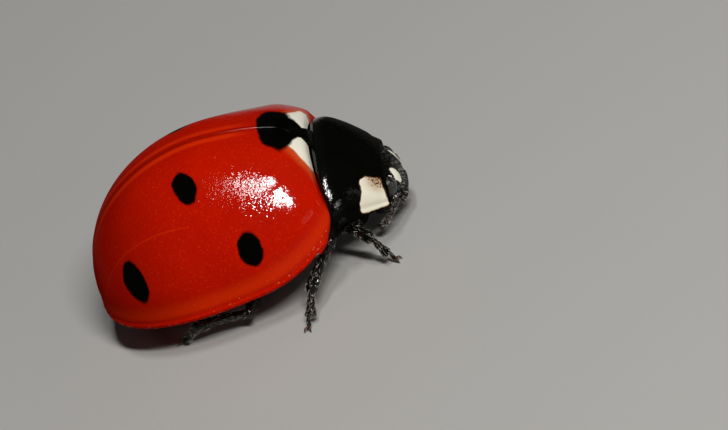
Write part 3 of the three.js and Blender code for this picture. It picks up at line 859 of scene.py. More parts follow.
def head_setae(settings):
    """Fine sparse hairs on the face, a fringe on the upper lip and down on the feelers and the last
    joints of the palps."""
    draw = np.random.default_rng(23)
    surface = Surface()
    face = skull()

    def on_face(points):
        return ease(-points[..., 1], 1.0, 1.25) * ease(-points[..., 2], -0.4, 0.0)

    lip = ball(LABRUM["centre"], LABRUM["radii"], 40, 48)

    def on_lip(points):
        return ease(-points[..., 1], 1.27, 1.35)

    coats = [(face, 240, 0.075, 0.35, on_face), (lip, 110, 0.1, 0.5, on_lip)]
    for side in SIDES.values():
        stops = [(0, 0.05), (0.6, 0.05), (0.75, 0.08), (1, 0.085)]
        feeler = limb(mirrored(ANTENNA_PATH, side), stops, (0, 0, 1), 40, 20)
        hatchet = part_of(mirrored(PALP_PATH, side), 0.5, 1)
        blade = limb(hatchet, [(0, 0.06), (1, 0.13)], (1, 0, 0), 26, 20, flat=0.5)
        coats.append((feeler, 260, 0.05, 0.6, None))
        coats.append((blade, 60, 0.05, 0.5, None))
    for number, (rings, count, length, lift, keep) in enumerate(coats):
        root, normal, along, place = rooted(rings, count, draw, keep=keep)
        lie = unit(np.array([0, -0.3, -1]) + 0.3 * draw.normal(size=(count, 3)))
        if number > 1:
            lie = unit(along + 0.3 * draw.normal(size=(count, 3)))
        lengths = length * settings.hair_length * draw.uniform(0.6, 1.2, count)
        hairs(surface, root, normal, lie, lengths, 0.9 * HAIR_GIRTH, tiled(place, number), lift)
    return surface


def belly_setae(settings):
    """Short flat-lying down on the throat, the breast and the abdomen, pointing backwards."""
    draw = np.random.default_rng(37)
    surface = Surface()
    parts = [
        (shell_roof, TRUNK["belly"], 0.15, TRUNK["waist"], breast_relief, 700),
        (shell_roof, TRUNK["belly"], TRUNK["waist"] + 0.03, 5.3, abdomen_relief, 1500),
        (shield_roof, TRUNK["throat_depth"], TRUNK["throat"], 0.0, throat_relief, 200),
    ]
    for number, (*slice_values, count) in enumerate(parts):
        _, belly = trunk_sheets(*slice_values, 90, 120, wide=0.95)
        root, normal, _, place = rooted(belly, count, draw, around=False)
        normal = normal * np.where(normal[:, 2:] > 0, -1, 1)
        lie = unit(np.array([0, 1, 0]) + 0.25 * draw.normal(size=(count, 3)))
        lengths = 0.085 * settings.hair_length * draw.uniform(0.6, 1.1, count)
        hairs(surface, root, normal, lie, lengths, HAIR_GIRTH, tiled(place, number, 3, 1), 0.3)
    return surface


# ---------------------------------------------------------------- finishes


class Finish:
    """One material and the nodes that give it its colour, gloss and relief."""

    def __init__(self, name, **uniform):
        self.material = bpy.data.materials.new(name)
        self.material.use_nodes = True
        self.tree = self.material.node_tree
        self.shader = next(n for n in self.tree.nodes if n.type == "BSDF_PRINCIPLED")
        for key, value in uniform.items():
            self.shader.inputs[key.replace("_", " ")].default_value = value
        self.object = self.add("ShaderNodeTexCoord").outputs["Object"]
        self.place = self.add("ShaderNodeAttribute", attribute_name="place").outputs["Vector"]

    def add(self, kind, inputs=None, **settings):
        """A node with its settings, and its inputs set to a value or linked from a socket."""
        node = self.tree.nodes.new(kind)
        for key, value in settings.items():
            setattr(node, key, value)
        for key, value in (inputs or {}).items():
            if isinstance(value, bpy.types.NodeSocket):
                self.tree.links.new(value, node.inputs[key])
            else:
                node.inputs[key].default_value = value
        return node

    def use(self, name, socket):
        """Links a socket to the shader."""
        self.tree.links.new(socket, self.shader.inputs[name])

    def noise(self, size, detail=2.0, roughness=0.5):
        """Noise whose features are about that many millimetres across."""
        inputs = {"Vector": self.object, "Scale": 1 / (size * MM), "Detail": detail}
        inputs["Roughness"] = roughness
        return self.add("ShaderNodeTexNoise", inputs).outputs["Fac"]

    def cells(self, size, output="Distance", randomness=1.0):
        """Distance from the middle, or another output, of cells about that many millimetres across."""
        inputs = {"Vector": self.object, "Scale": 1 / (size * MM), "Randomness": randomness}
        return self.add("ShaderNodeTexVoronoi", inputs, feature="F1").outputs[output]

    def math(self, operation, *values):
        """One operation on one, two or three values."""
        return self.add("ShaderNodeMath", dict(enumerate(values)), operation=operation).outputs[0]

    def vector(self, operation, *vectors):
        """One operation on one or two vectors."""
        return self.add("ShaderNodeVectorMath", dict(enumerate(vectors)), operation=operation).outputs[0]

    def line(self, value, factor, start):
        """factor times a value, plus start."""
        return self.math("MULTIPLY_ADD", value, factor, start)

    def ramp(self, value, low, high, start=0.0, end=1.0):
        """A smooth step from start to end as the value goes from low to high."""
        inputs = {"Value": value, "From Min": low, "From Max": high, "To Min": start, "To Max": end}
        return self.add("ShaderNodeMapRange", inputs, interpolation_type="SMOOTHSTEP").outputs[0]

    def times(self, product, *values):
        """The product of several values."""
        for value in values:
            product = self.math("MULTIPLY", product, value)
        return product

    def minus(self, a, b):
        """The difference of two values."""
        return self.math("SUBTRACT", a, b)

    def gap(self, a, b):
        """How far apart two values are."""
        return self.math("ABSOLUTE", self.minus(a, b))

    def wobble(self, size, amount):
        """Noise about zero, to move an outline by up to half the amount."""
        return self.times(self.minus(self.noise(size, 3.0), 0.5), amount)

    def mix(self, factor, *colours):
        """From one colour to another, each a socket or three numbers."""
        a, b = (c if isinstance(c, bpy.types.NodeSocket) else (*c, 1.0) for c in colours)
        inputs = {0: factor, 6: a, 7: b}
        return self.add("ShaderNodeMix", inputs, data_type="RGBA").outputs[2]

    def local(self, vector, centre, radii, turn):
        """The distance from a centre in a turned ellipse's own radii, which is 1 on its edge."""
        inputs = {"Vector": vector, "Location": centre, "Scale": radii, "Rotation": turn}
        mapped = self.add("ShaderNodeMapping", inputs, vector_type="TEXTURE").outputs[0]
        return self.add("ShaderNodeVectorMath", {0: mapped}, operation="LENGTH").outputs["Value"]

    def split(self, vector):
        """The three parts of a vector."""
        return self.add("ShaderNodeSeparateXYZ", {0: vector}).outputs

    def facets(self, normal, size, tilt):
        """A normal that leans another way in every cell of that size: by eight times the cube of an
        even random number of at most a half in each direction, times the tilt, so that most cells
        lean little and a few a lot."""
        lean = self.vector("SUBTRACT", self.cells(size, output="Color"), (0.5, 0.5, 0.5))
        cube = self.vector("MULTIPLY", self.vector("MULTIPLY", lean, lean), lean)
        inputs = {0: cube, "Scale": self.times(8.0, tilt)}
        lean = self.add("ShaderNodeVectorMath", inputs, operation="SCALE").outputs[0]
        return self.vector("NORMALIZE", self.vector("ADD", lean, normal))

    def glints(self, size, dull, bright):
        """The gloss of facets of that size: dull, and bright on those that lean upwards."""
        upward = self.split(self.cells(size, output="Color"))[2]
        return self.ramp(upward, 0.55, 0.8, dull, bright)

    def relief(self, height, depth, normal=None):
        """Relief of that many millimetres for a height from 0 to 1."""
        inputs = {"Height": height, "Distance": depth * MM, "Strength": 1.0}
        if normal is not None:
            inputs["Normal"] = normal
        return self.add("ShaderNodeBump", inputs).outputs[0]


# The colours that aren't settings. Those in pairs are the two tones of one skin.
TONES = {
    # painted shade: the shaded red of the suture's groove and of the hind of the wing cases
    "painted shade red": (0.2, 0.003, 0.0003),
    "edge of the cream": (0.72, 0.16, 0.03),
    "rim glint": (0.95, 0.36, 0.18),
    "dust": (0.8, 0.66, 0.55),
    "second cream": (0.8, 0.74, 0.57),
    "brown cream": (0.42, 0.22, 0.07),
    "pit": (0.035, 0.018, 0.008),
    "side bead": (0.42, 0.34, 0.2),
    "patch border": (0.12, 0.05, 0.015),
    "second black": (0.003, 0.003, 0.002),
    "face": ((0.0012, 0.0012, 0.001), (0.004, 0.0045, 0.003)),
    "eye": ((0.004, 0.004, 0.0035), (0.016, 0.016, 0.012)),
    "underside": ((0.003, 0.0025, 0.002), (0.009, 0.007, 0.005)),
    "mouthpart": ((0.004, 0.003, 0.0025), (0.02, 0.011, 0.006)),
    "feeler": ((0.005, 0.003, 0.002), (0.025, 0.011, 0.006)),
    "leg": ((0.0012, 0.001, 0.001), (0.004, 0.003, 0.0025)),
    "claw": ((0.03, 0.014, 0.007), (0.09, 0.042, 0.018)),
    "second hair": (0.5, 0.43, 0.34),
}
# Centre (y, distance from the suture), half sizes and turn of the spots on each wing case. The last
# one crosses the suture.
SPOTS = (
    ((2.77, 1.37), (0.46, 0.265), 98.0),
    ((1.85, 3.2), (0.4, 0.27), 78.0),
    ((4.65, 2.38), (0.56, 0.235), 103.0),
    ((0.585, 0.0), (0.88, 0.375), 90.0),
)


def shell_finish(settings):
    """Glossy red with black spots, cream beside the scutellum, a lighter rim and fine punctures, with painted
    light:
    a lighter red in front, painted shade in the suture's groove and towards the hind, a painted highlight
    along the welt and painted glints on the rim.

    A spot is where the distance from its centre, in its own half sizes and with noise added, is
    below 1. The shared spot is joined to the scutellum by a wedge whose width grows evenly with y.
    The cream is what lies in front of a slanted line. The coat's facets lean at random. The coat is
    strongest high up in front, away from the suture, and shows as dots along the rim."""
    f = Finish("red_shell", IOR=1.0, Coat_Roughness=0.06, Coat_IOR=1.7)
    y, across, height = f.split(f.place)
    wobble = f.wobble(0.3, 0.46)
    flat_place = f.vector("MULTIPLY", f.place, (1, 1, 0))
    wedge = f.minus(across, f.line(y, 1.4, 0.13))
    wedge = f.math("MAXIMUM", f.line(wedge, 2.2, 1.0), f.line(y, 3.0, -0.4))
    nearest = wedge
    for centre, half, turn in reversed(SPOTS):
        far = f.local(flat_place, (*centre, 0), (*half, 1), (0, 0, math.radians(turn)))
        nearest = f.math("SMOOTH_MIN", nearest, far, 0.2)
    spot = f.ramp(f.math("ADD", nearest, wobble), 1.1, 0.92)
    slant = f.minus(f.line(across, -0.56, 0.74), f.line(wobble, 0.25, y))
    cream = f.ramp(slant, -0.05, 0.02)
    glow = f.ramp(slant, -0.3, -0.02, 0.0, 0.5)

    fine = f.noise(0.11, 4.0, 0.65)
    red = f.mix(f.noise(1.6, 2.0), settings.deep_red, settings.bright_red)
    red = f.mix(f.ramp(fine, 0.35, 0.75, 0.0, 0.35), red, settings.deep_red)
    specks = f.ramp(f.cells(0.08), 0.3, 0.12, 0.0, 0.34)
    red = f.mix(specks, red, settings.rim_orange)
    band = f.times(f.ramp(height, 0.6, 0.34), f.ramp(height, 0.08, 0.26))
    red = f.mix(f.times(band, 0.42), red, settings.rim_orange)
    # Painted light: the front of the wing cases is made a lighter red, where the light falls on them most.
    red = f.mix(f.ramp(y, 1.5, 0.1, 0.0, 0.2), red, settings.bright_red)
    # Painted shade and highlight: the suture's groove is darkened towards the painted shade red, and a
    # lighter orange line along the welt beside it is a painted highlight.
    welt = f.ramp(f.gap(across, 0.2), 0.13, 0.02, 0.0, 0.42)
    red = f.mix(f.ramp(across, 0.11, 0.06, 0.0, 0.5), red, TONES["painted shade red"])
    red = f.mix(f.times(welt, f.ramp(y, 1.0, 1.6)), red, settings.rim_orange)
    vein = f.gap(across, f.line(y, -0.329, 3.25))
    vein = f.times(f.ramp(vein, 0.03, 0.008, 0.0, 0.3), f.ramp(y, 2.9, 3.3))
    red = f.mix(vein, red, settings.rim_orange)
    # Painted shade: the wing cases darken towards the hind, where less light falls on them.
    red = f.mix(f.ramp(y, 3.0, 5.2, 0.0, 0.45), red, TONES["painted shade red"])
    # Painted glints: pale orange dots along the rim's bead, where it would catch the light.
    painted_rim_glints = f.times(f.ramp(height, 0.2, 0.14), f.ramp(height, 0.03, 0.08))
    painted_rim_glints = f.times(f.ramp(f.cells(0.09), 0.22, 0.1, 0.0, 0.6), painted_rim_glints)
    painted_rim_glints = f.times(painted_rim_glints, f.ramp(y, 3.8, 2.2))
    red = f.mix(painted_rim_glints, red, TONES["rim glint"])
    red = f.mix(glow, red, TONES["edge of the cream"])
    colour = f.mix(cream, red, settings.cream)
    colour = f.mix(spot, colour, settings.black)
    dust = f.ramp(f.cells(0.21), 0.055, 0.03)
    dusty = f.ramp(f.noise(1.1, 2.0), 0.55, 0.72, 0.0, 0.45)
    colour = f.mix(f.times(dust, dusty), colour, TONES["dust"])
    f.use("Base Color", colour)

    normal = f.relief(f.ramp(f.cells(0.07), 0.08, 0.34), 0.0012)
    normal = f.relief(f.ramp(f.cells(0.17), 0.05, 0.2), 0.0015, normal)
    normal = f.relief(fine, 0.001, normal)
    f.use("Normal", normal)
    f.use("Coat Normal", f.facets(normal, 0.02, f.ramp(y, 0.85, 1.2, 0.045, 0.14)))
    gloss = f.times(f.ramp(height, 0.8, 1.6, 0.06, 1.0), f.ramp(y, 2.1, 1.2, 0.12, 1.0))
    gloss = f.times(gloss, f.ramp(across, 0.8, 1.6, 0.3, 1.0))
    gloss = f.times(gloss, f.math("MAXIMUM", f.ramp(y, 0.45, 0.7), f.ramp(across, 0.3, 0.6)))
    dots = f.times(f.ramp(height, 0.12, 0.07, 0.0, 0.5), f.ramp(f.cells(0.1), 0.4, 0.2))
    gloss = f.math("MAXIMUM", gloss, dots)
    f.use("Coat Weight", gloss)
    f.use("Roughness", f.ramp(fine, 0.3, 0.75, 0.2, 0.32))
    return f.material


def pitted(f, depth=0.004, size=0.055, grain=0.003):
    """Close punctures and a fine leathery grain."""
    pits = f.ramp(f.cells(size), 0.12, 0.38)
    return f.relief(f.noise(0.03, 3.0, 0.6), grain, f.relief(pits, depth))


# The hind border of the cream patch on the shield: how far forward it lies over how far out.
PATCH_HIND = (
    (0.526, 0.718),
    (0.554, 0.665),
    (0.612, 0.622),
    (0.666, 0.62),
    (0.732, 0.61),
    (0.82, 0.562),
    (0.89, 0.515),
)


def shield_finish(settings):
    """Glossy pitted black with a cream patch in each front corner.

    The patch lies in front of a curve over the distance from the middle, and inside three straight
    lines: one in front, one beside the middle and one at the side. A brown line edges it, and its
    inner front corner breaks up into brown pits. The coat is strongest at the hind edge."""
    f = Finish("black_shell", IOR=1.0, Coat_Roughness=0.07, Coat_IOR=1.7)
    forward, across, _ = f.split(f.place)
    side = f.math("ABSOLUTE", across)
    wobble = f.wobble(0.16, 0.05)
    curve = f.add("ShaderNodeFloatCurve", {"Value": side})
    line = curve.mapping.curves[0]
    for at, height in PATCH_HIND:
        line.points.new(at, height)
    line.points[0].location = (0.0, 0.8)
    line.points[-1].location = (1.0, 0.49)
    curve.mapping.update()
    inside = f.minus(forward, curve.outputs[0])
    inside = f.math("SMOOTH_MIN", inside, f.line(side, 1.0, -0.512), 0.05)
    inside = f.math("SMOOTH_MIN", inside, f.minus(f.line(side, 0.1, 0.89), forward), 0.05)
    inside = f.math("SMOOTH_MIN", inside, f.line(side, -1.5, 1.485), 0.08)
    inside = f.math("ADD", inside, wobble)
    corner = f.times(f.ramp(forward, 0.66, 0.86), f.ramp(side, 0.8, 0.58))
    pits = f.ramp(f.minus(f.cells(0.045), f.line(corner, 0.42, 0.02)), -0.04, 0.05)
    pale = f.mix(f.noise(0.3, 3.0), settings.cream, TONES["second cream"])
    pale = f.mix(f.times(corner, 0.75), pale, TONES["brown cream"])
    pale = f.mix(pits, TONES["pit"], pale)
    pale = f.mix(f.ramp(side, 0.965, 0.99, 0.0, 0.6), pale, TONES["side bead"])
    black = f.mix(f.noise(0.5), settings.black, TONES["second black"])
    colour = f.mix(f.ramp(inside, -0.012, 0.002), black, TONES["patch border"])
    f.use("Base Color", f.mix(f.ramp(inside, -0.002, 0.014), colour, pale))
    normal = f.relief(f.ramp(f.cells(0.14), 0.06, 0.2), 0.0015, pitted(f, 0.001, 0.055, 0.0006))
    f.use("Normal", normal)
    f.use("Coat Normal", f.facets(normal, 0.03, 0.09))
    bevel = f.times(f.ramp(forward, 0.12, 0.3, 1.0, 0.07), f.ramp(side, 0.9, 0.74, 0.05, 1.0))
    f.use("Coat Weight", bevel)
    f.use("Roughness", f.ramp(f.noise(0.09, 3.0), 0.3, 0.7, 0.25, 0.4))
    return f.material


def scutellum_finish(settings):
    """Black and pitted."""
    f = Finish("black_shell_triangle", IOR=1.0, Roughness=0.3, Coat_Weight=0.12, Coat_Roughness=0.15)
    f.use("Base Color", f.mix(f.noise(0.2), settings.black, TONES["second black"]))
    f.use("Normal", pitted(f))
    return f.material


def frame_point(x, y, z):
    """A point of the beetle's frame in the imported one, in metres, as a plain tuple."""
    return tuple(float(v) for v in (np.array([x, y, z]) + TO_FRAME) * MM)


def face_finish(settings):
    """Black with a leathery grain, facets that glint and a cream spot beside each eye."""
    f = Finish("black_face", IOR=1.0, Coat_Roughness=0.06, Coat_IOR=1.7)
    wobble = f.wobble(0.12, 0.35)
    nearest = None
    for side in SIDES.values():
        centre = frame_point(side * 0.43, -1.42, 0.19)
        radii = (0.105 * MM, 0.5 * MM, 0.195 * MM)
        far = f.local(f.object, centre, radii, (0, side * -0.24, 0))
        nearest = far if nearest is None else f.math("MINIMUM", nearest, far)
    spot = f.ramp(f.math("ADD", nearest, wobble), 1.08, 0.92)
    dark = f.mix(f.noise(0.25, 3.0), *TONES["face"])
    f.use("Base Color", f.mix(spot, dark, settings.cream))
    normal = pitted(f, 0.006, 0.07, 0.004)
    f.use("Normal", normal)
    f.use("Coat Normal", f.facets(normal, 0.03, 1.3))
    f.use("Coat Weight", f.glints(0.03, 0.15, 1.0))
    f.use("Roughness", f.ramp(f.noise(0.06, 3.0), 0.3, 0.7, 0.28, 0.45))
    return f.material


def eye_finish():
    """Dark, glossy and faceted."""
    f = Finish("eye", Roughness=0.16, Coat_Weight=0.6, Coat_Roughness=0.06)
    facets = f.cells(0.022, randomness=0.25)
    f.use("Base Color", f.mix(f.noise(0.2), *TONES["eye"]))
    normal = f.relief(f.ramp(facets, 0.1, 0.6, 1.0, 0.0), 0.004)
    f.use("Normal", normal)
    f.use("Coat Normal", f.facets(normal, 0.03, 0.9))
    return f.material


def plain_finish(name, roughness, depth, coat=0.2, sheen=0.5):
    """A hard dark skin: two tones in a fine noise, pits and grain, and facets that glint."""
    f = Finish(name, Specular_IOR_Level=sheen, Coat_Roughness=0.07, Coat_IOR=1.6)
    tone = f.ramp(f.noise(0.14, 4.0, 0.6), 0.35, 0.7)
    f.use("Base Color", f.mix(tone, *TONES[name]))
    normal = pitted(f, depth, 0.045, depth * 0.6)
    f.use("Normal", normal)
    f.use("Coat Normal", f.facets(normal, 0.035, 0.9))
    f.use("Coat Weight", f.glints(0.035, 0.3 * coat, coat))
    f.use("Roughness", f.ramp(f.noise(0.07, 3.0), 0.3, 0.7, roughness * 0.8, roughness * 1.25))
    return f.material


def trunk_finish(settings):
    """Black-brown plates with close pits, and the pale side plate behind each front leg."""
    f = Finish("underside", IOR=1.0, Coat_Weight=0.1, Coat_Roughness=0.2)
    x, y, _ = f.split(f.place)
    side = f.math("ABSOLUTE", x)
    tone = f.ramp(f.noise(0.2, 4.0, 0.6), 0.35, 0.7)
    dark = f.mix(tone, *TONES["underside"])
    wobble = f.wobble(0.2, 0.2)
    pale = f.times(f.ramp(f.math("ADD", side, wobble), 1.42, 1.48), f.ramp(y, 0.93, 0.87))
    pale = f.times(pale, f.ramp(f.math("ADD", y, wobble), 0.4, 0.47))
    f.use("Base Color", f.mix(pale, dark, settings.cream))
    f.use("Normal", pitted(f, 0.006, 0.06, 0.004))
    return f.material


def hair_finish(settings):
    """Pale hair that darkens a little from place to place."""
    f = Finish("hair", Roughness=0.45, Specular_IOR_Level=0.4)
    f.use("Base Color", f.mix(f.noise(0.1, 2.0), settings.hair, TONES["second hair"]))
    f.use("Normal", f.relief(f.noise(0.01, 2.0), 0.0004))
    return f.material


def floor_finish(settings):
    """A pale matt surface with the faintest tone and grain."""
    f = Finish("floor", Roughness=0.75)
    darker = tuple(v * 0.97 for v in settings.floor)
    f.use("Base Color", f.mix(f.noise(6.0, 3.0), settings.floor, darker))
    f.use("Normal", f.relief(f.noise(0.15, 3.0), 0.004))
    return f.material


# ---------------------------------------------------------------- settings


def colour_property(name, description, default):
    """A setting that holds a colour."""
    return bpy.props.FloatVectorProperty(
        name=name, description=description, subtype="COLOR", size=3, min=0.0, max=1.0, default=default
    )


class LADYBIRD_PG_shell(bpy.types.PropertyGroup):
    """Colours of the wing cases, the shield and the face."""

    bright_red: colour_property("Bright red", "Lightest red of the wing cases", (0.63, 0.011, 0.0005))
    deep_red: colour_property("Deep red", "Darkest red of the wing cases", (0.4, 0.004, 0.0002))
    rim_orange: colour_property("Rim", "Red-orange of the flared rim", (0.85, 0.045, 0.002))
    cream: colour_property("Cream", "Pale patches on shield, face and wing cases", (0.94, 0.9, 0.76))
    black: colour_property("Black", "Spots and shield", (0.0012, 0.0012, 0.0008))


class LADYBIRD_PG_coat(bpy.types.PropertyGroup):
    """Hairs of the legs, the head and the belly."""

    hair: colour_property("Hair colour", "Colour of the hairs", (0.9, 0.87, 0.8))
    hair_length: bpy.props.FloatProperty(
        name="Hair length", description="Length of every hair, as a factor", default=1.0, min=0.2, max=2.0
    )


class LADYBIRD_PG_stage(bpy.types.PropertyGroup):
    """Camera, lamps and floor."""

    distance: bpy.props.FloatProperty(
        name="Camera distance", description="From the beetle to the camera", default=0.2, unit="LENGTH"
    )
    azimuth: bpy.props.FloatProperty(
        name="Azimuth",
        description="Camera's turn round the beetle",
        default=math.radians(-78.4),
        subtype="ANGLE",
    )
    elevation: bpy.props.FloatProperty(
        name="Elevation",
        description="Camera's height above the floor",
        default=math.radians(29.3),
        subtype="ANGLE",
    )
    roll: bpy.props.FloatProperty(
        name="Roll", description="Camera's roll", default=math.radians(28.5), subtype="ANGLE"
    )
    floor: colour_property("Floor", "Colour of the floor", (0.52, 0.515, 0.5))


class LADYBIRD_PG_settings(bpy.types.PropertyGroup):
    """Everything a user would change."""

    shell: bpy.props.PointerProperty(type=LADYBIRD_PG_shell)
    coat: bpy.props.PointerProperty(type=LADYBIRD_PG_coat)
    stage: bpy.props.PointerProperty(type=LADYBIRD_PG_stage)


# ---------------------------------------------------------------- operators


class LADYBIRD_OT_wing_cases(bpy.types.Operator):
    """Builds both wing cases"""

    bl_idname = "ladybird.wing_cases"
    bl_label = "Wing cases"

    def execute(self, context):
        finish = shell_finish(context.scene.ladybird.shell)
        for name, side in SIDES.items():
            piece(f"wing_case_{name}", wing_case(side), finish, [f"elytron_{name}"])
        return {"FINISHED"}


class LADYBIRD_OT_shield(bpy.types.Operator):
    """Builds the shield over the thorax and the scutellum"""

    bl_idname = "ladybird.shield"
    bl_label = "Shield"

    def execute(self, context):
        colours = context.scene.ladybird.shell
        piece("shield", shield(), shield_finish(colours), ["pronotum"])
        piece("scutellum_plate", scutellum(), scutellum_finish(colours), ["scutellum"])
        return {"FINISHED"}


class LADYBIRD_OT_head(bpy.types.Operator):
    """Builds the head capsule and the eyes"""

    bl_idname = "ladybird.head"
    bl_label = "Head"

    def execute(self, context):
        colours = context.scene.ladybird.shell
        capsule = Surface()
        capsule.tube(skull())
        piece("head_capsule", capsule, face_finish(colours), ["head"])
        glossy = eye_finish()
        for name, side in SIDES.items():
            eye = Surface()
            eye.tube(ball(mirrored(EYE["centre"], side), EYE["radii"], 60, 80))
            piece(f"faceted_eye_{name}", eye, glossy, [f"eye_{name}"])
        return {"FINISHED"}


class LADYBIRD_OT_mouth_and_feelers(bpy.types.Operator):
    """Builds the upper lip, mandibles, palps and antennae"""

    bl_idname = "ladybird.mouth_and_feelers"
    bl_label = "Mouth and feelers"

    def execute(self, context):
        mouth = plain_finish("mouthpart", 0.35, 0.004, coat=0.3, sheen=0.2)
        feeler = plain_finish("feeler", 0.38, 0.003, coat=0.5, sheen=0.2)
        lip = Surface()
        lip.tube(ball(LABRUM["centre"], LABRUM["radii"], 50, 60, (0.8, 0.9)))
        piece("upper_lip", lip, mouth, ["labrum"])
        for name, side in SIDES.items():
            piece(f"jaw_{name}", mandible(side), mouth, [f"mandible_{name}"])
            piece(f"hatchet_palp_{name}", palp(side), mouth, [f"palp_{name}"])
            piece(f"feeler_{name}", antenna(side), feeler, [f"antenna_{name}"])
        return {"FINISHED"}


class LADYBIRD_OT_trunk(bpy.types.Operator):
    """Builds the underside of the thorax and the abdomen"""

    bl_idname = "ladybird.trunk"
    bl_label = "Trunk"

    def execute(self, context):
        finish = trunk_finish(context.scene.ladybird.shell)
        throat = trunk_part(shield_roof, TRUNK["throat_depth"], TRUNK["throat"], 0.0, throat_relief, 60, 120)
        breast = trunk_part(shell_roof, TRUNK["belly"], 0.08, TRUNK["waist"], breast_relief, 150, 200)
        rear = trunk_part(shell_roof, TRUNK["belly"], TRUNK["waist"] + 0.02, 5.36, abdomen_relief, 230, 160)
        piece("front_breast", throat, finish, ["prothorax"])
        piece("breast", breast, finish, ["thorax"])
        piece("belly_plates", rear, finish, ["abdomen"])
        for pair in COXAE:
            piece(f"coxae_{pair}", coxae(pair), finish)
        return {"FINISHED"}


class LADYBIRD_OT_legs(bpy.types.Operator):
    """Builds the six legs with their claws"""

    bl_idname = "ladybird.legs"
    bl_label = "Legs"

    def execute(self, context):
        horn = plain_finish("leg", 0.25, 0.002, coat=0.9, sheen=0.1)
        claw = plain_finish("claw", 0.3, 0.002)
        for name, joints in LEGS.items():
            thigh, shin, foot = Surface(), Surface(), Surface()
            thigh.tube(femur_rings(joints))
            shin.tube(tibia_rings(joints))
            for rings in tarsus_rings(joints):
                foot.tube(rings)
            piece(f"thigh_{name}", thigh, horn, [f"leg_{name}_femur"])
            piece(f"shin_{name}", shin, horn, [f"leg_{name}_tibia"])
            piece(f"foot_{name}", foot, horn, [f"leg_{name}_tarsus"])
            piece(f"claws_{name}", claws(joints), claw)
            piece(f"spurs_{name}", spurs(joints), claw)
        return {"FINISHED"}


class LADYBIRD_OT_setae(bpy.types.Operator):
    """Builds the hairs of the legs, the head and the belly"""

    bl_idname = "ladybird.setae"
    bl_label = "Hairs"

    def execute(self, context):
        settings = context.scene.ladybird.coat
        finish = hair_finish(settings)
        for make in (leg_setae, head_setae, belly_setae):
            piece(make.__name__, make(settings), finish, coat=True)
        return {"FINISHED"}


# Each lamp's direction from the origin, the direction of its first side, its distance and two sides
# in metres, its power in watts and its colour.
LAMPS = {
    "key": ((-0.56, -0.35, 0.75), (0.4, 0.62, 0.66), 0.16, (0.06, 0.013), 0.155, (1.0, 0.98, 0.95)),
    "top": ((-0.2, -0.14, 0.97), (1, 0.1, 0.2), 0.16, (0.045, 0.018), 0.055, (1.0, 0.99, 0.98)),
    "low": ((-0.7, -0.68, 0.2), (0.7, -0.7, 0), 0.2, (0.06, 0.02), 0.02, (1.0, 0.97, 0.92)),
    "rim": ((-0.25, -0.95, 0.12), (0, 0, 1), 0.2, (0.05, 0.02), 0.012, (1.0, 0.99, 0.97)),
    "fill": ((0.5, -0.8, 0.4), (1, 0, 0), 0.2, (0.1, 0.1), 0.012, (0.94, 0.97, 1.0)),
}
UNMIRRORED = ("fill",)  # lamps that the gloss doesn't show
VIEW_WIDTH = 16.35 * MM  # the width that the picture covers at the beetle
AIM = (0.526 * MM, -0.438 * MM)  # how far right of and above the beetle's own origin the camera aims
FLOOR_HALF = 0.6  # half the floor's side, m
SKY = {"Color": (0.86, 0.9, 0.95, 1), "Strength": 0.018}


def lamp(name, toward, along, distance, size, power, colour):
    """A rectangular lamp in a direction from the origin, facing it, with its first side along."""
    data = bpy.data.lights.new(name, "AREA")
    data.shape = "RECTANGLE"
    data.size, data.size_y = size
    data.energy = power
    data.color = colour
    back = Vector(toward).normalized()
    upward = back.cross(Vector(along)).normalized()
    turn = Matrix((upward.cross(back), upward, back)).transposed().to_4x4()
    obj = bpy.data.objects.new(name, data)
    obj.matrix_world = Matrix.Translation(back * distance) @ turn
    obj.visible_glossy = name not in UNMIRRORED
    bpy.context.scene.collection.objects.link(obj)


def floor_piece(settings):
    """A square floor under the beetle."""
    side = FLOOR_HALF
    mesh = bpy.data.meshes.new("floor")
    corners = [(-side, -side, 0), (side, -side, 0), (side, side, 0), (-side, side, 0)]
    mesh.from_pydata(corners, [], [(0, 1, 2, 3)])
    floor = bpy.data.objects.new("floor", mesh)
    bpy.context.scene.collection.objects.link(floor)
    mesh.materials.append(floor_finish(settings))


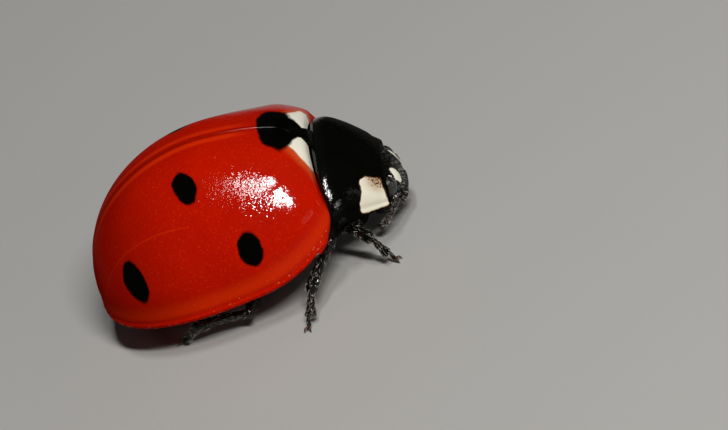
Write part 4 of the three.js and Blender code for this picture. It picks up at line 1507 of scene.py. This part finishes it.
def camera(stage):
    """A camera on the beetle, turned by the azimuth, elevation and roll."""
    a, e = stage.azimuth, stage.elevation
    back = Vector((math.sin(a) * math.cos(e), -math.cos(a) * math.cos(e), math.sin(e)))
    right = Vector((math.cos(a), math.sin(a), 0))
    up = back.cross(right)
    rolled_right = right * math.cos(stage.roll) - up * math.sin(stage.roll)
    rolled_up = right * math.sin(stage.roll) + up * math.cos(stage.roll)
    aim = Vector(TO_FRAME) * MM + rolled_right * AIM[0] + rolled_up * AIM[1]
    data = bpy.data.cameras.new("camera")
    data.lens = data.sensor_width * stage.distance / VIEW_WIDTH
    data.clip_start, data.clip_end = 0.001, 10
    obj = bpy.data.objects.new("camera", data)
    turn = Matrix((rolled_right, rolled_up, back)).transposed().to_4x4()
    obj.matrix_world = Matrix.Translation(aim + back * stage.distance) @ turn
    bpy.context.scene.collection.objects.link(obj)
    bpy.context.scene.camera = obj


class LADYBIRD_OT_stage(bpy.types.Operator):
    """Sets up the camera, the lamps and the floor"""

    bl_idname = "ladybird.stage"
    bl_label = "Stage"

    def execute(self, context):
        stage = context.scene.ladybird.stage
        floor_piece(stage)
        camera(stage)
        for name, values in LAMPS.items():
            lamp(name, *values)
        world = bpy.data.worlds.new("studio")
        context.scene.world = world
        world.use_nodes = True
        for key, value in SKY.items():
            world.node_tree.nodes["Background"].inputs[key].default_value = value
        context.scene.view_settings.view_transform = "Standard"
        return {"FINISHED"}


class LADYBIRD_PT_panel(bpy.types.Panel):
    """Lists the steps and their settings"""

    bl_idname = "LADYBIRD_PT_panel"
    bl_label = "Ladybird"
    bl_space_type = "VIEW_3D"
    bl_region_type = "UI"
    bl_category = "Ladybird"

    def draw(self, context):
        settings = context.scene.ladybird
        for group in (settings.shell, settings.coat, settings.stage):
            box = self.layout.box()
            for name in group.bl_rna.properties.keys():
                if name not in ("rna_type", "name"):
                    box.prop(group, name)
        for step in STEPS:
            self.layout.operator(step.bl_idname)


STEPS = (
    LADYBIRD_OT_stage,
    LADYBIRD_OT_wing_cases,
    LADYBIRD_OT_shield,
    LADYBIRD_OT_head,
    LADYBIRD_OT_mouth_and_feelers,
    LADYBIRD_OT_trunk,
    LADYBIRD_OT_legs,
    LADYBIRD_OT_setae,
)
GROUPS = (LADYBIRD_PG_shell, LADYBIRD_PG_coat, LADYBIRD_PG_stage, LADYBIRD_PG_settings)
CLASSES = (*GROUPS, *STEPS, LADYBIRD_PT_panel)


def register():
    for cls in CLASSES:
        bpy.utils.register_class(cls)
    bpy.types.Scene.ladybird = bpy.props.PointerProperty(type=LADYBIRD_PG_settings)


def unregister():
    del bpy.types.Scene.ladybird
    for cls in reversed(CLASSES):
        bpy.utils.unregister_class(cls)


def main():
    """Registers the add-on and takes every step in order."""
    register()
    for step in STEPS:
        operator = getattr(bpy.ops.ladybird, step.bl_idname.split(".")[1])
        operator()


if __name__ == "__main__":
    main()
